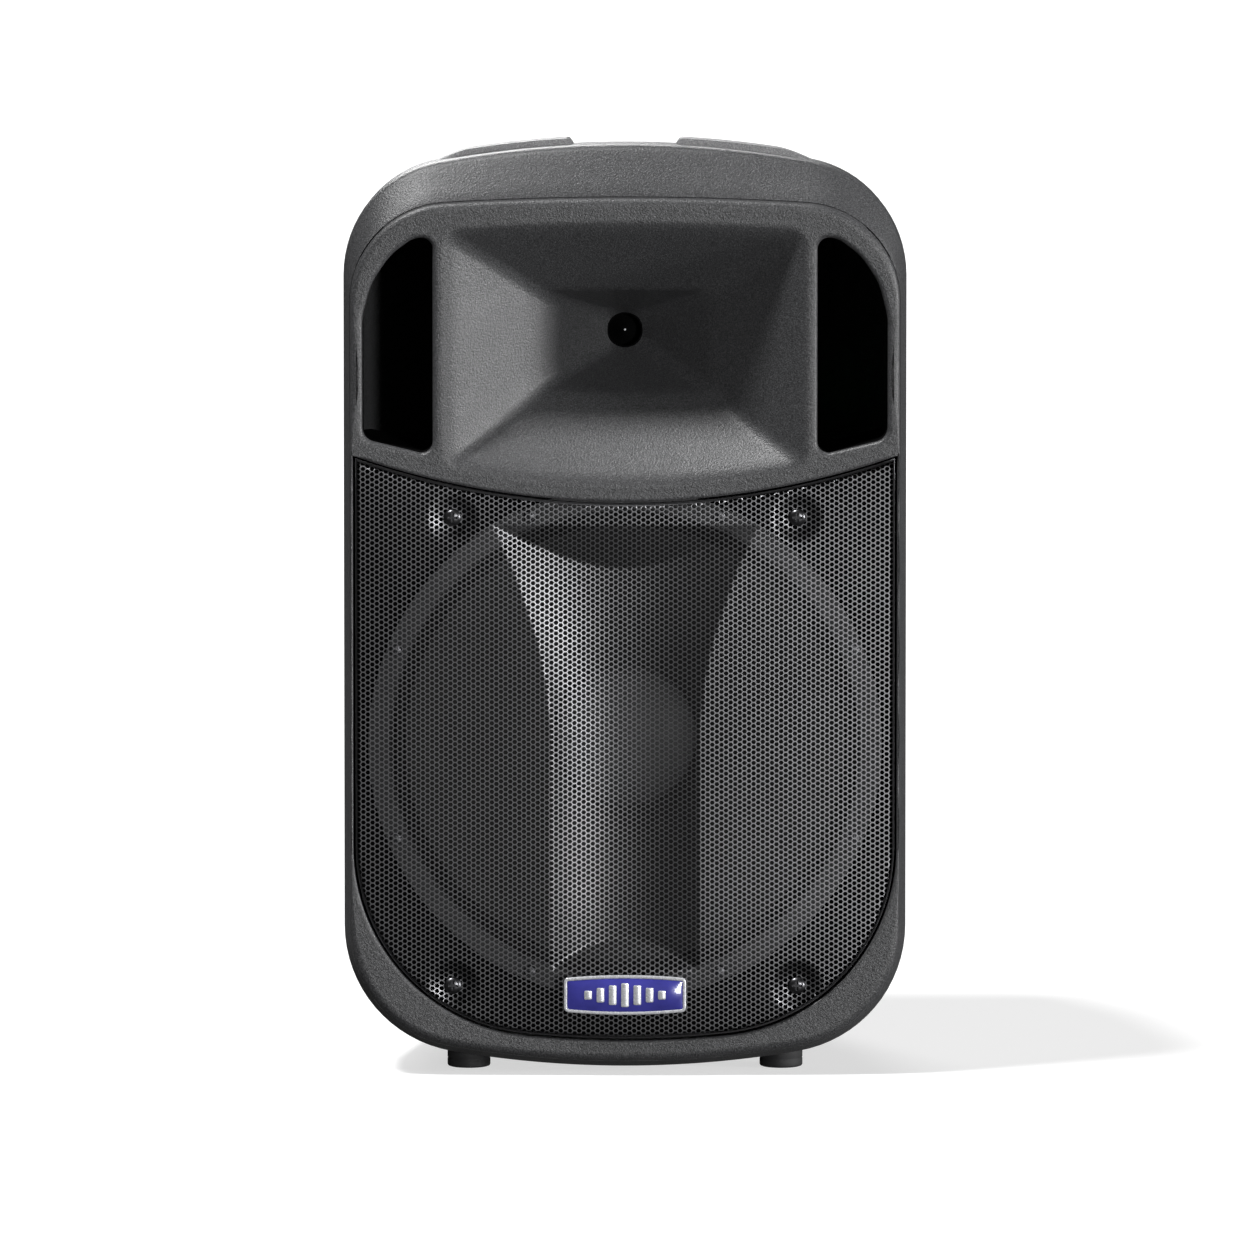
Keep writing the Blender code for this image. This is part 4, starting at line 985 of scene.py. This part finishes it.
def make_pad(name, side):
    """A long moulded pad, proud of the roof in front and a little lower behind, with soft edges."""
    bm = bmesh.new()
    bmesh.ops.create_grid(bm, x_segments=44, y_segments=80, size=0.5)
    x0, x1, y0, y1 = 0.0385, 0.1480, PARTING + 0.0042, 0.054
    for vert in bm.verts:
        u, v = vert.co.x + 0.5, vert.co.y + 0.5
        u = 0.5 + 0.5 * sin(pi * (u - 0.5)) * 0.35 + (u - 0.5) * 0.65
        x, y = x0 + (x1 - x0) * u, y0 + (y1 - y0) * v
        rise = 0.0050 - 0.0012 * smooth(y / 0.05)
        gap = min((x - x0) / 0.0048, (x1 - x) / 0.0330, (y - y0) / 0.0030, (y1 - y) / 0.0200)
        vert.co = (side * x, y, roof(x, y) - 0.0012 + (rise + 0.0012) * float(smooth(gap) ** 0.6))
    bmesh.ops.recalc_face_normals(bm, faces=bm.faces)
    if sum(face.normal.z for face in bm.faces) < 0:
        bmesh.ops.reverse_faces(bm, faces=bm.faces)
    grown = bmesh.ops.extrude_face_region(bm, geom=bm.faces[:])["geom"]
    bmesh.ops.translate(bm, verts=verts_of(grown), vec=(0, 0, -0.0024))
    # The pad's paler finish is a painted highlight.
    return piece(name, bm, PAINTED_HIGHLIGHT_PAD, sharp=60)


def upright(radius, x, y, z0, z1, sides=40):
    return spun([(0.0, z0), (radius, z0), (radius, z1), (0.0, z1)], (x, y, 0.0), "Z", sides)


POCKET_HALF, POCKET_FLOOR = 0.0362, 0.6352


def make_roof_details():
    near = low("top_handle").y - 0.0003
    far = high("top_handle").y + 0.0003
    shell = bpy.data.objects["rear_moulding"]
    cut(shell, block((-POCKET_HALF, near, POCKET_FLOOR), (POCKET_HALF, far, 0.73), None, 0.006, 4))
    for side, name in ((1, "right"), (-1, "left")):
        pad = make_pad(f"roof_pad_{name}", side)
        insert = "fly_insert_top_right" if side > 0 else "fly_insert_top_left"
        place = middle(insert)
        reach = half_width(insert)
        cut(pad, upright(reach + 0.0004, place.x, place.y, 0.66, 0.74))
        cut(shell, upright(reach + 0.0003, place.x, place.y, 0.62, 0.74))
    rings = []
    count = 26
    for k in range(count + 1):
        y = near + 0.0006 + (far - near - 0.0012) * k / count
        ends = float(smooth(1 - min(k, count - k) / 4.5))
        half = 0.0130 + 0.0030 * ends
        top = float(roof(0.0, y)) - 0.0012
        thick = 0.0205 + 0.0060 * ends
        rings.append((soft_box(-half, half, top - thick, top, 0.0065, 0.0055, 6), y))
    piece("carrying_bar", capped(rings), RUBBER, ("top_handle",), sharp=60)


# ---- Feet, screws, throat ----
def make_feet():
    for name in ("foot_front_left", "foot_front_right", "foot_rear_left", "foot_rear_right"):
        place, top = middle(name), high(name).z
        radius = half_width(name)
        profile = [(0.0, 0.0004), (radius * 0.34, 0.0004), (radius * 0.40, 0.0010), (radius * 0.62, 0.0010),
                   (radius * 0.68, 0.0), (radius * 0.88, 0.0), (radius * 0.965, 0.0005), (radius, 0.0016),
                   (radius, 0.0060), (radius * 0.985, 0.0064), (radius * 0.985, 0.0070), (radius, 0.0074),
                   (radius, top - 0.0006), (radius * 0.97, top - 0.0002), (0.0, top - 0.0002)]
        rows = [row for row in profile if row[1] <= top]
        foot = spun(rows, (place.x, place.y, 0.0), "Z", 56)
        piece(f"rubber_{name}", foot, RUBBER, (name,), sharp=50)


def make_front_screws():
    for k in (1, 2, 3, 4):
        node = f"grille_screw_{k}"
        place = middle(node)
        pan_screw(f"grille_fixing_{k}", (place.x, FACE + 0.0011, place.z), 0.00675, 0.0044, -1, (node,))


def make_throat():
    """The phase plug's polished tip in the middle of the horn's throat."""
    place = middle("driver_phase_plug")
    tip = low("driver_phase_plug").y
    rows = [(0.0, tip), (0.0008, tip + 0.0003), (0.0015, tip + 0.0010), (0.0020, tip + 0.0022),
            (0.0023, tip + 0.0040), (0.0020, tip + 0.0052), (0.0, tip + 0.0052)]
    piece("phase_plug_tip", spun(rows, (place.x, 0.0, place.z), sides=32), SILVER)


# ---- Back panel ----
def outward(profile, centre, sides=48):
    """A turned shape on the back panel: (radius, height above the panel) about a (x, z) centre."""
    return spun([(radius, PANEL_OUT + height) for radius, height in profile], (centre[0], 0.0, centre[1]),
                sides=sides)


KNOB_TALL = 0.0118
# Each step: height above the panel, share of the radius, how deep the flutes are.
KNOB_STEPS = ((0.0004, 0.97, 0.0), (0.0008, 1.0, 0.0), (0.0020, 1.0, 0.0), (0.0024, 0.93, 0.02),
              (0.0040, 0.90, 0.05), (0.0095, 0.80, 0.05), (0.0108, 0.77, 0.03), (0.0115, 0.72, 0.0),
              (KNOB_TALL, 0.66, 0.0))


def make_knobs():
    for k in (1, 2):
        node = f"gain_knob_{k}"
        place, out = middle(node), high(node).y
        radius = half_width(node)
        rings = []
        for depth, size, flute in KNOB_STEPS:
            outline = [(place.x + radius * size * (1 - flute * (0.5 + 0.5 * cos(18 * a))) * cos(a),
                        place.z + radius * size * (1 - flute * (0.5 + 0.5 * cos(18 * a))) * sin(a))
                       for a in (2 * pi * i / 144 for i in range(144))]
            rings.append((outline, PANEL_OUT + depth * (out - PANEL_OUT) / KNOB_TALL))
        piece(f"fluted_knob_{k}", capped(rings), TRIM, (node,), f"gain_{k}", sharp=40)
        bm = block((place.x - 0.0006, out - 0.0008, place.z + 0.0008),
                   (place.x + 0.0006, out + 0.00005, place.z + 0.0052), None, 0.0002)
        piece(f"knob_pointer_{k}", bm, PRINT, (), f"gain_{k}")
        bm = bmesh.new()
        for step in range(11):
            turn = radians(150 - 30 * step)
            here = Matrix.Translation((place.x, 0, place.z)) @ Matrix.Rotation(-turn, 4, "Y")
            reach = radius + (0.0026 if step % 5 else 0.0034)
            tick = Matrix.Translation((0, PANEL_OUT, (radius + 0.0012 + reach) / 2))
            size = Matrix.Diagonal((0.0005, 0.0002, reach - radius - 0.0012, 1))
            bmesh.ops.create_cube(bm, size=1.0, matrix=here @ tick @ size)
        piece(f"gain_scale_{k}", bm, PRINT)


def make_panel_details():
    spots = [(side * 0.0885, z) for side in (1, -1) for z in (0.1460, 0.2400, 0.3620, 0.4600, 0.5540)]
    for k, (x, z) in enumerate(spots):
        pan_screw(f"panel_screw_{k + 1}", (x, PANEL_OUT - 0.0001, z), 0.0031, 0.0018, 1)
    colours = (lamp("green_lamp", (0.05, 0.55, 0.12)), lamp("amber_lamp", (0.75, 0.42, 0.03)),
               lamp("red_lamp", (0.65, 0.04, 0.03)))
    for k, (x, finish) in enumerate(zip((-0.0500, -0.0580, -0.0660), colours)):
        collar = [(0.0017, -0.0002), (0.0026, -0.0002), (0.0026, 0.0005), (0.0022, 0.0009), (0.0017, 0.0009)]
        piece(f"lamp_collar_{k + 1}", outward(collar, (x, 0.347)), TRIM)
        lens = [(0.0, -0.0002), (0.0016, -0.0002), (0.0016, 0.0010), (0.0013, 0.0016), (0.0007, 0.0020),
                (0.0, 0.0021)]
        piece(f"signal_lamp_{k + 1}", outward(lens, (x, 0.347), 32), finish)
    for k, node in enumerate(("input_socket_1", "input_socket_2", "link_socket")):
        place = (middle(node).x, 0.300)
        face = high(node).y - PANEL_OUT
        ring = [(0.0096, face - 0.0006), (0.0112, face - 0.0006), (0.0112, face + 0.0003),
                (0.0108, face + 0.0007), (0.0100, face + 0.0007), (0.0096, face + 0.0003)]
        piece(f"socket_ring_{k + 1}", outward(ring, place, 64), STEEL)
        for end, sign in (("upper", 1), ("lower", -1)):
            seat = (place[0] + sign * 0.0096, high(node).y - 0.0001, place[1] + sign * 0.0122)
            pan_screw(f"socket_{k + 1}_{end}_screw", seat, 0.0021, 0.0010, 1)
        for pin in range(3):
            turn = radians(90 + 120 * pin) if node == "link_socket" else radians(30 + 120 * pin)
            reach = 0.0042 if node == "link_socket" else 0.0070
            x, z = place[0] + reach * cos(turn), place[1] + reach * sin(turn)
            floor = 0.1682 - PANEL_OUT
            top = floor + (0.0105 if node == "link_socket" else 0.0012)
            rod = [(0.0, top), (0.0007, top - 0.0001), (0.0012, top - 0.0008), (0.0012, floor), (0.0, floor)]
            piece(f"contact_{k + 1}_{pin + 1}", outward(rod, (x, z), 20), STEEL)
    inlet = middle("mains_inlet")
    for k, (x, z) in enumerate(((-0.0070, 0.1915), (0.0, 0.1960), (0.0070, 0.1915))):
        floor = low("mains_inlet").y + 0.0040
        pin = block((inlet.x + x - 0.0010, floor, z - 0.0021),
                    (inlet.x + x + 0.0010, PANEL_OUT - 0.0040, z + 0.0021), None, 0.0005, 3)
        piece(f"mains_pin_{k + 1}", pin, STEEL)


# The nodes shown as they are in the CAD model, by their finish.
CARRIED = (
    (RUBBER, ("shell_gasket",)),
    # The port ducts, driver flange and phase plug get the near-black painted shade.
    (SHADE_BLACK, ("port_duct_left", "port_duct_right", "driver_flange", "driver_phase_plug")),
    (CAST, ("woofer_basket",)),
    (CLOTH, ("woofer_spider",)),
    (COPPER, ("woofer_voice_coil", "transformer")),
    (FERRITE, ("woofer_magnet", "driver_magnet")),
    (STEEL, ("woofer_top_plate", "woofer_pole_piece", "driver_diaphragm", "fly_insert_top_left",
             "fly_insert_top_right", "fly_insert_rear", "latch_tab_1", "latch_tab_2")),
    (TRIM, ("driver_rear_cap", "pole_socket", "input_socket_1", "input_socket_2", "link_socket",
            "mains_inlet", "fuse_drawer", "rocker_bezel", "power_rocker")),
    (PANEL, ("amp_panel",)),
    (ANODISED, ("heat_sink",)),
    (GREY, ("mode_button_1", "mode_button_2")),
    (BOARD, ("circuit_board",)),
    (SCREW, [f"woofer_screw_{k}" for k in range(1, 9)]),
)


def dress_carried_nodes():
    for material, nodes in CARRIED:
        for node in nodes:
            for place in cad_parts[node].material_slots:
                place.material = material


def cut_underside():
    """The openings of the pole socket and of the rear fly point in the rear shell."""
    shell = bpy.data.objects["rear_moulding"]
    place = middle("pole_socket")
    cut(shell, upright(0.0182, place.x, place.y, -0.02, 0.060, 64))
    point = middle("fly_insert_rear")
    reach = half_width("fly_insert_rear") + 0.0003
    bore = [(0.0, 0.150), (reach, 0.150), (reach, 0.21), (0.0, 0.21)]
    cut(shell, spun(bore, (point.x, 0.0, point.z), sides=40))


make_front_shell()
make_perforated_fields()
make_folded_margin()
make_rear_shell()
make_woofer()
make_badge()
make_roof_details()
make_feet()
make_front_screws()
make_throat()
make_knobs()
make_panel_details()
cut_underside()
dress_carried_nodes()
make_studio()
